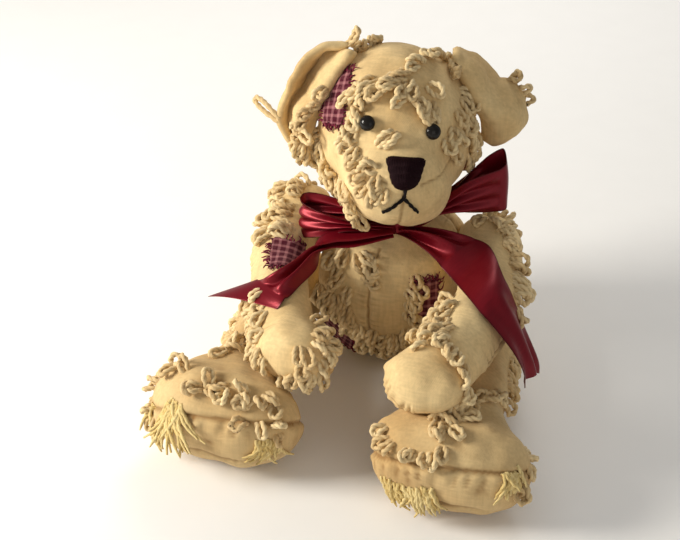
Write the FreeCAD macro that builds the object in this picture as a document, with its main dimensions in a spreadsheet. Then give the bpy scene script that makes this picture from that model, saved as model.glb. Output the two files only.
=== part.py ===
import FreeCAD, Part
import math
import os

# Jointed teddy bear, seated, in millimetres.
# The origin is the middle of the seat on the floor. The bear faces -Y and its left side is +X.

V = FreeCAD.Vector
BIG = 300.0

doc = FreeCAD.newDocument("JointedBear")

# ---------------------------------------------------------------- driving dimensions

DIMENSIONS = {
    # soft skins
    "fabric_thick": 0.8,
    "filling_gap": 0.2,
    "joint_gap": 0.3,
    # torso, as half-widths
    "torso_wide": 37.0,
    "torso_deep": 27.0,
    "torso_tall": 40.0,
    "torso_middle": 35.0,
    # head, as half-widths
    "head_wide": 31.0,
    "head_deep": 30.5,
    "head_tall": 33.5,
    "head_lift": 30.0,
    "muzzle_wide": 20.0,
    "muzzle_deep": 18.0,
    "muzzle_tall": 17.8,
    "ear_long": 21.0,
    "ear_wide": 12.5,
    "ear_thick": 3.2,
    "eye_round": 3.0,
    "eye_stem_round": 1.1,
    "eye_stem_long": 5.0,
    "eye_washer_round": 3.4,
    "eye_washer_thick": 0.9,
    "nose_wide": 14.6,
    "nose_tall": 11.5,
    "nose_thick": 1.5,
    "thread_thick": 0.9,
    # arms and legs, as half-widths
    "shoulder_round": 14.0,
    "arm_round": 12.7,
    "paw_wide": 16.0,
    "paw_thick": 12.3,
    "hip_round": 14.5,
    "leg_round": 13.0,
    "ankle_wide": 15.5,
    "ankle_tall": 14.0,
    "foot_wide": 30.0,
    "foot_tall": 19.0,
    # disc joints
    "neck_disc": 9.0,
    "shoulder_disc": 6.3,
    "hip_disc": 6.8,
    "disc_thick": 1.6,
    "stem_round": 2.0,
    "stem_clearance": 0.08,
    "lock_round": 4.2,
    "lock_thick": 1.2,
    # trimmings
    "patch_thick": 0.7,
    "patch_gap": 0.15,
    "yarn_round": 0.95,
    "yarn_loop": 3.2,
    "ribbon_wide": 20.0,
    "ribbon_thick": 0.9,
    "band_round": 25.0,
    "band_thick": 2.0,
    "band_tall": 4.2,
}

sheet = doc.addObject("Spreadsheet::Sheet", "Dimensions")
for line, (alias, value) in enumerate(DIMENSIONS.items(), start=1):
    sheet.set("A%d" % line, alias.replace("_", " "))
    sheet.set("B%d" % line, str(value))
    sheet.setAlias("B%d" % line, alias)
doc.recompute()


def dim(alias):
    return float(sheet.get(alias))


def size(value):
    """A number, or the value of an alias."""
    return dim(value) if value in DIMENSIONS else float(value)


def formula(text):
    """The expression with each alias turned into a reference to the sheet."""
    return " ".join("Dimensions." + word if word in DIMENSIONS else word for word in text.split())


# ---------------------------------------------------------------- building blocks

def bind(obj, **sizes):
    for prop, text in sizes.items():
        obj.setExpression(prop, formula(text))
    return obj


def boolean(kind, name, base, tool):
    result = doc.addObject("Part::" + kind, name)
    result.Base = base
    result.Tool = tool
    return result


def fused(name, pieces):
    if len(pieces) == 1:
        return pieces[0]
    result = doc.addObject("Part::MultiFuse", name)
    result.Shapes = pieces
    return result


def cylinder(name, radius, length, start=V(0, 0, 0), axis=V(0, 0, 1)):
    rod = bind(doc.addObject("Part::Cylinder", name), Radius=radius, Height=length)
    rod.Placement = FreeCAD.Placement(start, FreeCAD.Rotation(V(0, 0, 1), axis))
    return rod


def beyond(name, point, normal, span=BIG):
    """A square block that fills the side of a plane that its normal points to."""
    block = doc.addObject("Part::Box", name)
    block.Length = span
    block.Width = span
    block.Height = span
    turn = FreeCAD.Rotation(V(0, 0, 1), normal)
    block.Placement = FreeCAD.Placement(point + turn.multVec(V(-span / 2, -span / 2, 0)), turn)
    return block


NODES = {}


def node(name, obj, placement=None):
    """Names a finished sub-part, which becomes one file."""
    obj.Label = name
    if placement is not None:
        obj.Placement = placement.multiply(obj.Placement)
    NODES[name] = obj
    return obj


class Blob:
    """An ellipsoid that a stuffed shape is made of. Its sizes are expressions, for its own X, Y and Z."""

    def __init__(self, sizes, centre, turn=FreeCAD.Rotation()):
        self.sizes = sizes
        self.centre = V(*centre)
        self.turn = turn

    def solid(self, name, change="", extra=0.0):
        wide, deep, tall = (formula(part + change) for part in self.sizes)
        body = doc.addObject("Part::Ellipsoid", name)
        body.setExpression("Radius2", wide)
        body.setExpression("Radius3", deep)
        body.setExpression("Radius1", tall)
        body.Placement = FreeCAD.Placement(self.centre, self.turn)
        return body

    def seat(self, direction):
        """The point on the surface in a direction from the centre, and the outward normal there."""
        ray = self.turn.inverted().multVec(V(*direction))
        radii = [size(part) for part in self.sizes]
        reach = 1 / math.sqrt(sum((part / radius) ** 2 for part, radius in zip(ray, radii)))
        point = ray * reach
        normal = V(*[part / radius ** 2 for part, radius in zip(point, radii)]).normalize()
        return self.centre + self.turn.multVec(point), self.turn.multVec(normal)


class Limb:
    """A tapered tube with round ends, lofted through ellipses that face along -Y.

    A station is (x, y, z, half-width, half-height), with the two sizes as aliases or numbers."""

    ROUNDING = (80, 62, 36)

    def __init__(self, stations):
        self.stations = stations

    def rings(self):
        """The loft's sections: the stations, and the rounding before the first and after the last."""
        rings = []
        for ends, way in ((self.stations[0], 1), (self.stations[-1], -1)):
            angles = self.ROUNDING if way > 0 else self.ROUNDING[::-1]
            for angle in angles:
                rings.append((ends, way * math.sin(math.radians(angle)), math.cos(math.radians(angle))))
        middle = len(self.ROUNDING)
        return rings[:middle] + [(station, 0, 1) for station in self.stations] + rings[middle:]

    def solid(self, name, change="", extra=0.0):
        sections = []
        for number, ((x, y, z, wide, tall), forward, scale) in enumerate(self.rings()):
            shape = doc.addObject("Part::Ellipse", "%s_ring%d" % (name, number))
            shape.setExpression("MajorRadius", "( %s ) * %.4f" % (formula(str(wide) + change), scale))
            shape.setExpression("MinorRadius", "( %s ) * %.4f" % (formula(str(tall) + change), scale))
            reach = (size(tall) + extra) * forward
            shape.Placement = FreeCAD.Placement(V(x, y + reach, z), FreeCAD.Rotation(V(1, 0, 0), 90))
            sections.append(shape)
        body = doc.addObject("Part::Loft", name)
        body.Sections = sections
        body.Solid = True
        return body

    def seat(self, station, angle):
        """The point on the skin at a station, at an angle up from +X, and the outward normal there."""
        x, y, z, wide, tall = self.stations[station]
        wide = size(wide)
        tall = size(tall)
        across = math.cos(math.radians(angle))
        upward = math.sin(math.radians(angle))
        return V(x + wide * across, y, z + tall * upward), V(across / wide, 0, upward / tall).normalize()


# ---------------------------------------------------------------- disc joints

class Joint:
    """A disc joint: its point on the torso's face, its axis out of the torso and its disc's radius."""

    def __init__(self, name, point, axis, disc):
        self.name = name
        self.point = V(*point)
        self.axis = V(*axis).normalize()
        self.disc = disc
        self.placement = FreeCAD.Placement(self.point, FreeCAD.Rotation(V(0, 0, 1), self.axis))

    def rod(self, name, radius, half_length):
        start = self.point - self.axis * half_length
        return cylinder(name, radius, "%.3f" % (2 * half_length), start, self.axis)


JOINT = {"neck": Joint("neck", (-2.5, 8.3, 70.4), (0.035, 0.156, 0.987), "neck_disc")}
for side, sign in (("left", 1), ("right", -1)):
    for name, point, axis in (("shoulder", (28.5, 4, 52), (0.965, -0.22, 0.14)),
                              ("hip", (28.3, 1, 20), (0.995, 0, -0.10))):
        JOINT[name + "_" + side] = Joint(name + "_" + side, (sign * point[0], point[1], point[2]),
                                         (sign * axis[0], axis[1], axis[2]), name + "_disc")

# Where the torso's inner face of fabric lies, and the small gap to each disc.
FABRIC_FACE = dim("joint_gap") + dim("fabric_thick")
SNUG = 0.1


def disc_joint(joint):
    """The stem disc in the limb, the plain disc in the torso and the lock washer on the stem."""
    disc_face = FABRIC_FACE + SNUG
    plain_end = -disc_face - dim("disc_thick")
    lock_end = plain_end - SNUG - dim("lock_thick")
    stem_end = lock_end - dim("lock_thick")
    stem = cylinder(joint.name + "_stem", "stem_round", "%.3f + 1.5 * lock_thick" % (disc_face - stem_end),
                    V(0, 0, stem_end))
    plate = cylinder(joint.name + "_plate", joint.disc, "disc_thick", V(0, 0, disc_face))
    node(joint.name + "_stem_disc", fused(joint.name + "_stem_plate", [stem, plate]), joint.placement)

    plain = cylinder(joint.name + "_plain", joint.disc, "disc_thick", V(0, 0, plain_end))
    bore = cylinder(joint.name + "_bore", "stem_round + stem_clearance", "3 * disc_thick",
                    V(0, 0, plain_end - dim("disc_thick")))
    node(joint.name + "_torso_disc", boolean("Cut", joint.name + "_bored", plain, bore), joint.placement)

    ring = cylinder(joint.name + "_ring", "lock_round", "lock_thick", V(0, 0, lock_end))
    grip_end = V(0, 0, lock_end - dim("lock_thick"))
    grip = cylinder(joint.name + "_grip", "stem_round", "3 * lock_thick", grip_end)
    node(joint.name + "_lock_washer", boolean("Cut", joint.name + "_ringed", ring, grip), joint.placement)


# ---------------------------------------------------------------- stuffed bodies

LAYERS = {
    "outer": ("", 0.0),
    "inner": (" - fabric_thick", dim("fabric_thick")),
    "filling": (" - fabric_thick - filling_gap", dim("fabric_thick") + dim("filling_gap")),
}


def layer(name, kind, blobs, faces):
    """One closed surface: the blobs in one, cut flat at each face: (point, outward normal, span)."""
    change, depth = LAYERS[kind]
    pieces = [blob.solid("%s_%s%d" % (name, kind, number), change, -depth)
              for number, blob in enumerate(blobs)]
    body = fused("%s_%s" % (name, kind), pieces)
    for number, (point, normal, span) in enumerate(faces):
        block = beyond("%s_%s_beyond%d" % (name, kind, number), point - normal * depth, normal, span)
        body = boolean("Cut", "%s_%s_face%d" % (name, kind, number), body, block)
    return body


def stuffed(name, blobs, faces, joints):
    """The fabric skin and the stuffing, with room for the joints' stems and discs."""
    outer = layer(name, "outer", blobs, faces)
    skin = boolean("Cut", name + "_skin", outer, layer(name, "inner", blobs, faces))
    filling = layer(name, "filling", blobs, faces)
    for joint in joints:
        hole = joint.rod("%s_%s_hole" % (name, joint.name), "stem_round + stem_clearance", 5)
        room = joint.rod("%s_%s_room" % (name, joint.name), joint.disc + " + filling_gap", 7)
        skin = boolean("Cut", "%s_%s_holed" % (name, joint.name), skin, hole)
        filling = boolean("Cut", "%s_%s_roomed" % (name, joint.name), filling, room)
    return skin, filling


# How much of a limb's own end its flat face reaches over.
LIMB_FACE_SPAN = 40.0


def limb_face(joint):
    """The flat face that a limb's own end has against the torso, and no further along the limb."""
    return joint.point + joint.axis * dim("joint_gap"), joint.axis * -1, LIMB_FACE_SPAN


def torso_face(joint):
    return joint.point - joint.axis * dim("joint_gap"), joint.axis, BIG


# ---------------------------------------------------------------- trimmings

# How deep the block that cuts a patch out of its layer is.
PATCH_REACH = 14.0
# A loop's middle stands this far off the skin, so that the loop clears the skin's curve.
YARN_LIFT = dim("yarn_round") + 1.6


def patch(name, shape, point, normal, wide, tall):
    """A square of fabric that lies on a stuffed shape, in a layer just outside its skin."""
    gap = dim("patch_gap")
    over = shape.solid(name + "_over", " + patch_gap + patch_thick", gap + dim("patch_thick"))
    under = shape.solid(name + "_under", " + patch_gap", gap)
    layer_of_fabric = boolean("Cut", name + "_layer", over, under)
    block = bind(doc.addObject("Part::Box", name + "_outline"), Length=str(wide), Width=str(tall))
    block.Height = PATCH_REACH
    facing = FreeCAD.Rotation(V(0, 0, 1), normal)
    corner = facing.multVec(V(-wide / 2, -tall / 2, -PATCH_REACH / 2))
    block.Placement = FreeCAD.Placement(point + corner, facing)
    return boolean("Common", name + "_cut", layer_of_fabric, block)


def yarn_loops(name, seats):
    """Loops of yarn that lie flat on the skin. A seat is a point on the skin and the normal there."""
    loops = []
    for point, normal in seats:
        ring = bind(doc.addObject("Part::Torus", "%s_loop%d" % (name, len(loops))),
                    Radius1="yarn_loop", Radius2="yarn_round")
        ring.Placement = FreeCAD.Placement(point + normal * YARN_LIFT, FreeCAD.Rotation(V(0, 0, 1), normal))
        loops.append(ring)
    group = doc.addObject("Part::Compound", name + "_group")
    group.Links = loops
    return group


def row(blob, first, last, count):
    """Evenly spread seats on a blob, between two directions from its middle."""
    first = V(*first)
    last = V(*last)
    return [blob.seat(first + (last - first) * (number / (count - 1))) for number in range(count)]


# ---------------------------------------------------------------- torso

TORSO_LEAN = FreeCAD.Rotation(0, -4, -10)
TORSO = Blob(("torso_wide", "torso_deep", "torso_tall"), (0, 2, dim("torso_middle")), TORSO_LEAN)


def torso():
    faces = [torso_face(joint) for joint in JOINT.values()]
    faces.append((V(0, 0, 0), V(0, 0, -1), BIG))
    skin, filling = stuffed("torso", [TORSO], faces, list(JOINT.values()))
    node("torso_shell", skin)
    node("torso_stuffing", filling)
    node("torso_patch_side", patch("torso_side", TORSO, *TORSO.seat((0.62, -0.75, 0.05)), 9, 20))
    node("torso_patch_belly", patch("torso_belly", TORSO, *TORSO.seat((-0.34, -0.72, -0.62)), 14, 13))
    chest = row(TORSO, (-0.5, -0.85, 0.15), (0.12, -0.95, 0.3), 3)
    belly = row(TORSO, (0.02, -0.8, -0.5), (0.4, -0.7, -0.55), 2)
    upper_back = row(TORSO, (-0.4, 0.85, 0.3), (0.4, 0.85, 0.3), 4)
    lower_back = row(TORSO, (-0.35, 0.8, -0.3), (0.45, 0.8, -0.3), 4)
    node("torso_yarn", yarn_loops("torso_yarn", chest + belly + upper_back + lower_back))


# ---------------------------------------------------------------- head

NECK = JOINT["neck"]
HEAD_YAW = 20.5
HEAD_TURN = NECK.placement.Rotation.multiply(FreeCAD.Rotation(HEAD_YAW, 0, 0))
HEAD_PLACE = FreeCAD.Placement(NECK.point, HEAD_TURN)
SKULL = Blob(("head_wide", "head_deep", "head_tall"), (-2, -4, dim("head_lift")))
MUZZLE = Blob(("muzzle_wide", "muzzle_deep", "muzzle_tall"), (-1.5, -28, 18.7))
EAR_TILT = 43
EAR_OUT = 35.3
EAR_UP = 45.5


def ear(side, sign):
    """A flat flap that is sewn to the skull by its top edge and hangs outwards."""
    flap = Blob(("ear_thick", "ear_wide", "ear_long"), (SKULL.centre.x + sign * EAR_OUT, -4, EAR_UP),
                FreeCAD.Rotation(0, sign * -EAR_TILT, 0))
    node("ear_" + side, flap.solid("ear_%s_flap" % side), HEAD_PLACE)


EYES = {"left": (10.1, -27.6, 10.7), "right": (-12.9, -25.0, 11.5)}


def eyes():
    """Two round eyes, each with a stem that goes through the skin into a lock washer."""
    washers = []
    for side, direction in EYES.items():
        point, normal = SKULL.seat(direction)
        ball = doc.addObject("Part::Ellipsoid", "eye_%s_ball" % side)
        bind(ball, Radius2="eye_round", Radius3="eye_round", Radius1="0.75 * eye_round")
        centre = point + normal * (0.75 * dim("eye_round") + SNUG)
        ball.Placement = FreeCAD.Placement(centre, FreeCAD.Rotation(V(0, 0, 1), normal))
        stem = cylinder("eye_%s_stem" % side, "eye_stem_round", "eye_stem_long + eye_round",
                        centre, normal * -1)
        node("eye_" + side, fused("eye_%s_body" % side, [ball, stem]), HEAD_PLACE)
        start = point - normal * (dim("fabric_thick") + 3 * SNUG + dim("eye_washer_thick"))
        ring = cylinder("eye_%s_ring" % side, "eye_washer_round", "eye_washer_thick", start, normal)
        grip = cylinder("eye_%s_grip" % side, "eye_stem_round", "4 * eye_washer_thick",
                        start - normal, normal)
        washers.append(boolean("Cut", "eye_%s_washer" % side, ring, grip))
    group = doc.addObject("Part::Compound", "eye_washer_pair")
    group.Links = washers
    node("eye_washers", group, HEAD_PLACE)


def head():
    face = (V(0, 0, dim("joint_gap")), V(0, 0, -1), BIG)
    skull_room = Joint("neck", (0, 0, 0), (0, 0, 1), "neck_disc")
    skin, filling = stuffed("head", [SKULL, MUZZLE], [face], [skull_room])
    for side, direction in EYES.items():
        point, normal = SKULL.seat(direction)
        start = point + normal * 3
        hole = cylinder("head_eye_hole_" + side, "eye_stem_round + stem_clearance", "8", start, normal * -1)
        room = cylinder("head_eye_room_" + side, "eye_washer_round + filling_gap", "13", start, normal * -1)
        skin = boolean("Cut", "head_skin_eye_" + side, skin, hole)
        filling = boolean("Cut", "head_filling_eye_" + side, filling, room)
    node("head_shell", skin, HEAD_PLACE)
    node("head_stuffing", filling, HEAD_PLACE)
    node("head_patch", patch("head", SKULL, *SKULL.seat((-26.5, -9, 15)), 11, 17), HEAD_PLACE)
    front = row(SKULL, (-15, -22, 25), (15, -20, 25), 4) + row(SKULL, (21, -22, 2), (20, -20, 15), 2)
    cheek = row(SKULL, (-29, -10, -9), (-25, -18, -1), 2)
    back = row(SKULL, (-18, 26, 8), (18, 26, 8), 4)
    node("head_yarn", yarn_loops("head_yarn", front + cheek + back), HEAD_PLACE)


def outline(name, points, thick):
    """A flat outline through the muzzle's middle, thickened forwards to cut the stitching out."""
    corners = [V(x, MUZZLE.centre.y, z) for x, z in points]
    wire = doc.addObject("Part::Polygon", name)
    wire.Nodes = corners
    wire.Close = True
    prism = doc.addObject("Part::Extrusion", name + "_prism")
    prism.Base = wire
    prism.DirMode = "Custom"
    prism.Dir = V(0, -1, 0)
    prism.LengthFwd = thick
    prism.Solid = True
    return prism


def thread_layer(name, thick):
    """A layer of thread on the muzzle, from which the nose and the mouth are cut."""
    return boolean("Cut", name + "_layer", MUZZLE.solid(name + "_outer", " + " + thick),
                   MUZZLE.solid(name + "_inner", " + patch_gap"))


NOSE_CENTRE = V(-1.2, 0, 27.0)
NOSE_CORNER = 1.5
# The mouth: how far its fork is below the thread's top, and how far each end is out and down.
FORK_DROP = 2.2
MOUTH_OUT = 6.2
MOUTH_DROP = 7.2


def nose():
    """A shield of satin stitches, wide at the top and pointed at the bottom."""
    half = dim("nose_wide") / 2
    tall = dim("nose_tall")
    x = NOSE_CENTRE.x
    top = NOSE_CENTRE.z + tall / 2
    corners = [(x - half, top - NOSE_CORNER), (x - half + NOSE_CORNER, top),
               (x + half - NOSE_CORNER, top), (x + half, top - NOSE_CORNER),
               (x + 0.7 * half, top - 0.7 * tall), (x, top - tall), (x - 0.7 * half, top - 0.7 * tall)]
    shield = outline("nose_shield", corners, BIG)
    stitches = thread_layer("nose", "patch_gap + nose_thick")
    node("nose", boolean("Common", "nose_cut", stitches, shield), HEAD_PLACE)


def mouth():
    """One thread down from the nose, and two that part from its end."""
    half = dim("thread_thick") / 2
    x = NOSE_CENTRE.x
    top = NOSE_CENTRE.z - dim("nose_tall") / 2 - 0.4
    fork = top - FORK_DROP
    corner_x = MOUTH_OUT
    corner_z = fork - MOUTH_DROP
    corners = [(x - half, top), (x + half, top), (x + half, fork + half), (x + corner_x, corner_z + half),
               (x + corner_x - half, corner_z - half), (x, fork - half),
               (x - corner_x + half, corner_z - half),
               (x - corner_x, corner_z + half), (x - half, fork + half)]
    lines = outline("mouth_lines", corners, BIG)
    stitches = thread_layer("mouth", "patch_gap + thread_thick")
    node("mouth", boolean("Common", "mouth_cut", stitches, lines), HEAD_PLACE)


# ---------------------------------------------------------------- arms and legs

SHOULDER = ("shoulder_round", "shoulder_round")
ARM = ("arm_round", "arm_round")
PAW = ("paw_wide", "paw_thick")
HIP = ("hip_round", "hip_round")
SHIN = ("leg_round", "leg_round")
ANKLE = ("ankle_wide", "ankle_tall")
FOOT = ("foot_wide", "foot_tall")

ARMS = {
    "left": Limb([(39.6, 3.5, 54, *SHOULDER), (44.5, -13, 53, *ARM), (47.5, -33, 51.5, *ARM),
                  (43, -54, 50, *ARM), (34.5, -74, 48.8, *PAW)]),
    "right": Limb([(-39.6, 3.5, 54, *SHOULDER), (-41, -13, 52, *ARM), (-37, -32, 49, *ARM),
                   (-29, -51, 46.3, *ARM), (-17, -69, 44.4, *PAW)]),
}
LEGS = {
    "left": Limb([(39.6, 1, 20.2, *HIP), (45.5, -24, 20, *SHIN), (48, -46, 19.5, *SHIN),
                  (48.5, -62, 19.5, *ANKLE), (48, -82, 19.3, *FOOT)]),
    "right": Limb([(-39.6, 1, 20.2, *HIP), (-42, -25, 20, *SHIN), (-42, -49, 19.5, *SHIN),
                   (-42, -64, 19.5, *ANKLE), (-40.5, -84, 19.3, *FOOT)]),
}
SOLE_WAY = V(0.1, -0.55, -0.83).normalize()
SOLE_INSET = 9.0


def arm(side, outward):
    """A sewn arm. outward is the angle up from +X of its outer side."""
    limb = ARMS[side]
    joint = JOINT["shoulder_" + side]
    skin, filling = stuffed("arm_" + side, [limb], [limb_face(joint)], [joint])
    node("arm_%s_shell" % side, skin)
    node("arm_%s_stuffing" % side, filling)
    seats = [limb.seat(station, outward) for station in (1, 2)]
    node("arm_%s_yarn" % side, yarn_loops("arm_%s_yarn" % side, seats))


def leg(side, outward):
    """A sewn leg and foot, whose sole is a piece of its own."""
    limb = LEGS[side]
    joint = JOINT["hip_" + side]
    skin, filling = stuffed("leg_" + side, [limb], [limb_face(joint)], [joint])
    seam = V(*limb.stations[-1][:3]) + SOLE_WAY * SOLE_INSET
    sole = boolean("Common", "sole_%s_cut" % side, skin, beyond("sole_%s_side" % side, seam, SOLE_WAY))
    upper = boolean("Cut", "leg_%s_upper" % side, skin, beyond("leg_%s_side" % side, seam, SOLE_WAY))
    node("leg_%s_shell" % side, upper)
    node("leg_%s_sole" % side, sole)
    node("leg_%s_stuffing" % side, filling)
    seats = [limb.seat(1, outward), limb.seat(4, outward), limb.seat(4, 90), limb.seat(4, 180 - outward)]
    node("leg_%s_yarn" % side, yarn_loops("leg_%s_yarn" % side, seats))


# ---------------------------------------------------------------- ribbon

KNOT_YAW = 25
KNOT_TURN = NECK.placement.Rotation.multiply(FreeCAD.Rotation(KNOT_YAW, 0, 0))
KNOT_PLACE = FreeCAD.Placement(NECK.point, KNOT_TURN)
BAND_LOW = -3.4
KNOT_SIZE = ("6.0", "3.8", "4.4")
KNOT_MIDDLE = (0, -31, -4.4)
LOOP_SIZE = ("18.5", "9.0", "2.6")
# Each loop's middle, the way it runs and the way it faces.
LOOPS = {
    "left": (V(31, -5.5, 77), V(27, 28, 9), V(0.72, -0.62, -0.3)),
    "right": (V(-12.5, -23.5, 73), V(-25, 5, 9), V(0.1, -1, -0.4)),
}
ALONG_ARM = (0.25, -0.93, -0.15)
# The first station of a tail is gathered into the knot, to this share of the ribbon's width.
GATHERED = 0.4
TAIL_LEFT = [((14, -25, 67), (0.1, -0.4, 1)), ((32, -29, 67.6), ALONG_ARM), ((48, -34, 67.3), ALONG_ARM),
             ((62, -39, 59.5), ALONG_ARM), ((67, -43, 44), (0.3, -0.95, 0.1)),
             ((69, -45, 36), (0.3, -0.95, 0.1))]
TAIL_RIGHT = [((6, -27, 64.5), (0.1, -0.6, 0.8)), ((-18, -36, 64.5), (0.4, -0.9, 0.2)),
              ((-31, -48, 63.4), (0.55, -0.83, 0.1)),
              ((-50, -54, 49.5), (0.72, -0.62, 0.31))]


def tail(name, stations):
    """A length of ribbon, flat between stations that are (middle point, the way its width runs)."""
    wide = dim("ribbon_wide")
    thick = dim("ribbon_thick")
    sections = []
    for number, (point, across) in enumerate(stations):
        before = V(*stations[max(number - 1, 0)][0])
        after = V(*stations[min(number + 1, len(stations) - 1)][0])
        along = (after - before).normalize()
        across = V(*across)
        half_wide = wide * (GATHERED if number == 0 else 1) / 2
        across = (across - along * across.dot(along)).normalize() * half_wide
        through = along.cross(across).normalize() * (thick / 2)
        middle = V(*point)
        corners = [middle + across + through, middle - across + through,
                   middle - across - through, middle + across - through]
        sections.append(Part.makePolygon(corners + corners[:1]))
    ribbon = doc.addObject("Part::Feature", name + "_cloth")
    ribbon.Shape = Part.makeLoft(sections, True, True)
    return ribbon


def ribbon():
    """The parts of one ribbon's bow: a band round the neck, a knot, two loops and two tails."""
    low = V(0, 0, BAND_LOW)
    outside = cylinder("ribbon_outside", "band_round + band_thick", "band_tall", low)
    inside = cylinder("ribbon_inside", "band_round", "3 * band_tall", low - V(0, 0, dim("band_tall")))
    node("ribbon_band", boolean("Cut", "ribbon_ring", outside, inside), KNOT_PLACE)
    knot = Blob(KNOT_SIZE, KNOT_MIDDLE)
    node("ribbon_knot", knot.solid("ribbon_knot_body"), KNOT_PLACE)
    for side, (middle, along, facing) in LOOPS.items():
        turn = FreeCAD.Rotation(along, facing.cross(along), facing, "XZY")
        loop = Blob(LOOP_SIZE, middle, turn)
        node("ribbon_loop_" + side, loop.solid("ribbon_loop_%s_body" % side))
    node("ribbon_tail_left", tail("ribbon_tail_left", TAIL_LEFT))
    node("ribbon_tail_right", tail("ribbon_tail_right", TAIL_RIGHT))


# ---------------------------------------------------------------- the whole bear

torso()
head()
ear("left", 1)
ear("right", -1)
eyes()
nose()
mouth()
arm("left", -12)
arm("right", 165)
node("arm_right_patch", patch("arm_right", ARMS["right"], *ARMS["right"].seat(1, 85), 14, 14))
leg("left", 40)
leg("right", 140)
ribbon()
for joint in JOINT.values():
    disc_joint(joint)

doc.recompute()
for obj in doc.Objects:
    if "Invalid" in obj.State or "Error" in obj.State:
        raise RuntimeError("%s: %s" % (obj.Label, obj.State))
for name, obj in NODES.items():
    if obj.Shape.isNull() or not obj.Shape.isValid() or obj.Shape.Volume <= 0:
        raise RuntimeError(name + " is not a valid shape")
    print("%-24s %3d solids %9.1f mm3" % (name, len(obj.Shape.Solids), obj.Shape.Volume))

os.makedirs("parts", exist_ok=True)
for name, obj in NODES.items():
    obj.Shape.exportStep(os.path.join("parts", name + ".step"))
print(len(NODES), "nodes")
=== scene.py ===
import math

import bmesh
import bpy
import numpy as np
from mathutils import Matrix, Vector
from mathutils.bvhtree import BVHTree


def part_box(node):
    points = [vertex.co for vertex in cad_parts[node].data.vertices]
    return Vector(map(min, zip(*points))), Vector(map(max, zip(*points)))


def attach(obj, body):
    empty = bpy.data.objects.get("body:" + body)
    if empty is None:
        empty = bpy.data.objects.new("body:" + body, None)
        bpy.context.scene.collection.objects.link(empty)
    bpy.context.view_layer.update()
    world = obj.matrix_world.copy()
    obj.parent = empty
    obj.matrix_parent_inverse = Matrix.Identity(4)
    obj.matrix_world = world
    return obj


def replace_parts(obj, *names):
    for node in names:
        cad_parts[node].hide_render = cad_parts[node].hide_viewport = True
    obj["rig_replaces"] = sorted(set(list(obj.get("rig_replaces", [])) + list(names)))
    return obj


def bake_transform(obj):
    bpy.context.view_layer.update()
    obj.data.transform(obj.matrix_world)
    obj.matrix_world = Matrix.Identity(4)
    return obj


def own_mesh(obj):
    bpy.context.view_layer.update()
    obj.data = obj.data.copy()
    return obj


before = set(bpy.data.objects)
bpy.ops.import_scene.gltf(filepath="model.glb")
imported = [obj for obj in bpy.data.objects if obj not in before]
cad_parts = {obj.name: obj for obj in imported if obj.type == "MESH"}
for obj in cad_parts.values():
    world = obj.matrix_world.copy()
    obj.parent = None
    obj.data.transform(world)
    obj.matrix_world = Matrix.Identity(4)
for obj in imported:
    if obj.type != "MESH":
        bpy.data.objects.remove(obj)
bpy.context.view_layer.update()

# A jointed rag bear of tea-dyed cotton, with tufts of looped yarn, gingham patches and a satin bow.
# Lengths in this script are in millimetres until a mesh is made.
MM = 0.001
CHANCE = np.random.default_rng(11)
DOWN = np.array([0.0, 0.0, -1.0])


def vec(*numbers):
    return np.array(numbers, float)


def unit(v):
    v = np.asarray(v, float)
    return v / np.maximum(np.linalg.norm(v, axis=-1, keepdims=True), 1e-12)


def turn_about(axis, degrees):
    return np.array(Matrix.Rotation(math.radians(degrees), 3, Vector(axis)))


def turn_onto(axis):
    """The turn that takes +Z onto an axis by the shortest way."""
    return np.array(Vector((0, 0, 1)).rotation_difference(Vector(axis)).to_matrix())


# ---------------------------------------------------------------- materials

class Paint:
    """A material put together from nodes. Each call returns the socket that it makes."""

    def __init__(self, name, **sockets):
        self.material = bpy.data.materials.new(name)
        self.material.use_nodes = True
        self.tree = self.material.node_tree
        self.shader = self.tree.nodes["Principled BSDF"]
        place = self.tree.nodes.new("ShaderNodeTexCoord")
        self.place = place.outputs["Object"]
        self.normal = place.outputs["Normal"]
        self.flat = place.outputs["UV"]
        for name, value in sockets.items():
            self.shader.inputs[name.replace("_", " ")].default_value = value

    def make(self, kind, links, out=0, **settings):
        made = self.tree.nodes.new(kind)
        for key, value in settings.items():
            setattr(made, key, value)
        for key, value in links.items():
            if isinstance(value, bpy.types.NodeSocket):
                self.tree.links.new(value, made.inputs[key])
            else:
                made.inputs[key].default_value = value
        return made.outputs[out]

    def math(self, operation, a, b=0.0, clamp=False):
        return self.make("ShaderNodeMath", {0: a, 1: b}, operation=operation, use_clamp=clamp)

    def noise(self, scale, detail=2.0, where=None, stretch=None):
        where = where or self.place
        if stretch:
            where = self.make("ShaderNodeMapping", {"Vector": where, "Scale": stretch})
        return self.make("ShaderNodeTexNoise", {"Vector": where, "Scale": scale, "Detail": detail})

    def ramp(self, value, low, high, start=0.0, end=1.0):
        return self.make("ShaderNodeMapRange", {"Value": value, "From Min": low, "From Max": high,
                                                "To Min": start, "To Max": end})

    def mix(self, amount, a, b, how="MIX"):
        return self.make("ShaderNodeMix", {0: amount, 6: a, 7: b}, out=2, data_type="RGBA", blend_type=how)

    def attribute(self, name):
        return self.make("ShaderNodeAttribute", {}, out="Fac", attribute_name=name)

    def axes(self, where):
        split = self.tree.nodes.new("ShaderNodeSeparateXYZ")
        self.tree.links.new(where, split.inputs[0])
        return split.outputs

    def wave(self, value, pitch):
        """A wave from -1 to 1 with that pitch in metres."""
        return self.math("SINE", self.math("MULTIPLY", value, 2 * math.pi / pitch))

    def finish(self, colour, height, strength, depth):
        links = self.tree.links
        links.new(colour, self.shader.inputs["Base Color"])
        bump = self.make("ShaderNodeBump", {"Height": height, "Strength": strength, "Distance": depth})
        links.new(bump, self.shader.inputs["Normal"])
        return self.material


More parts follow.
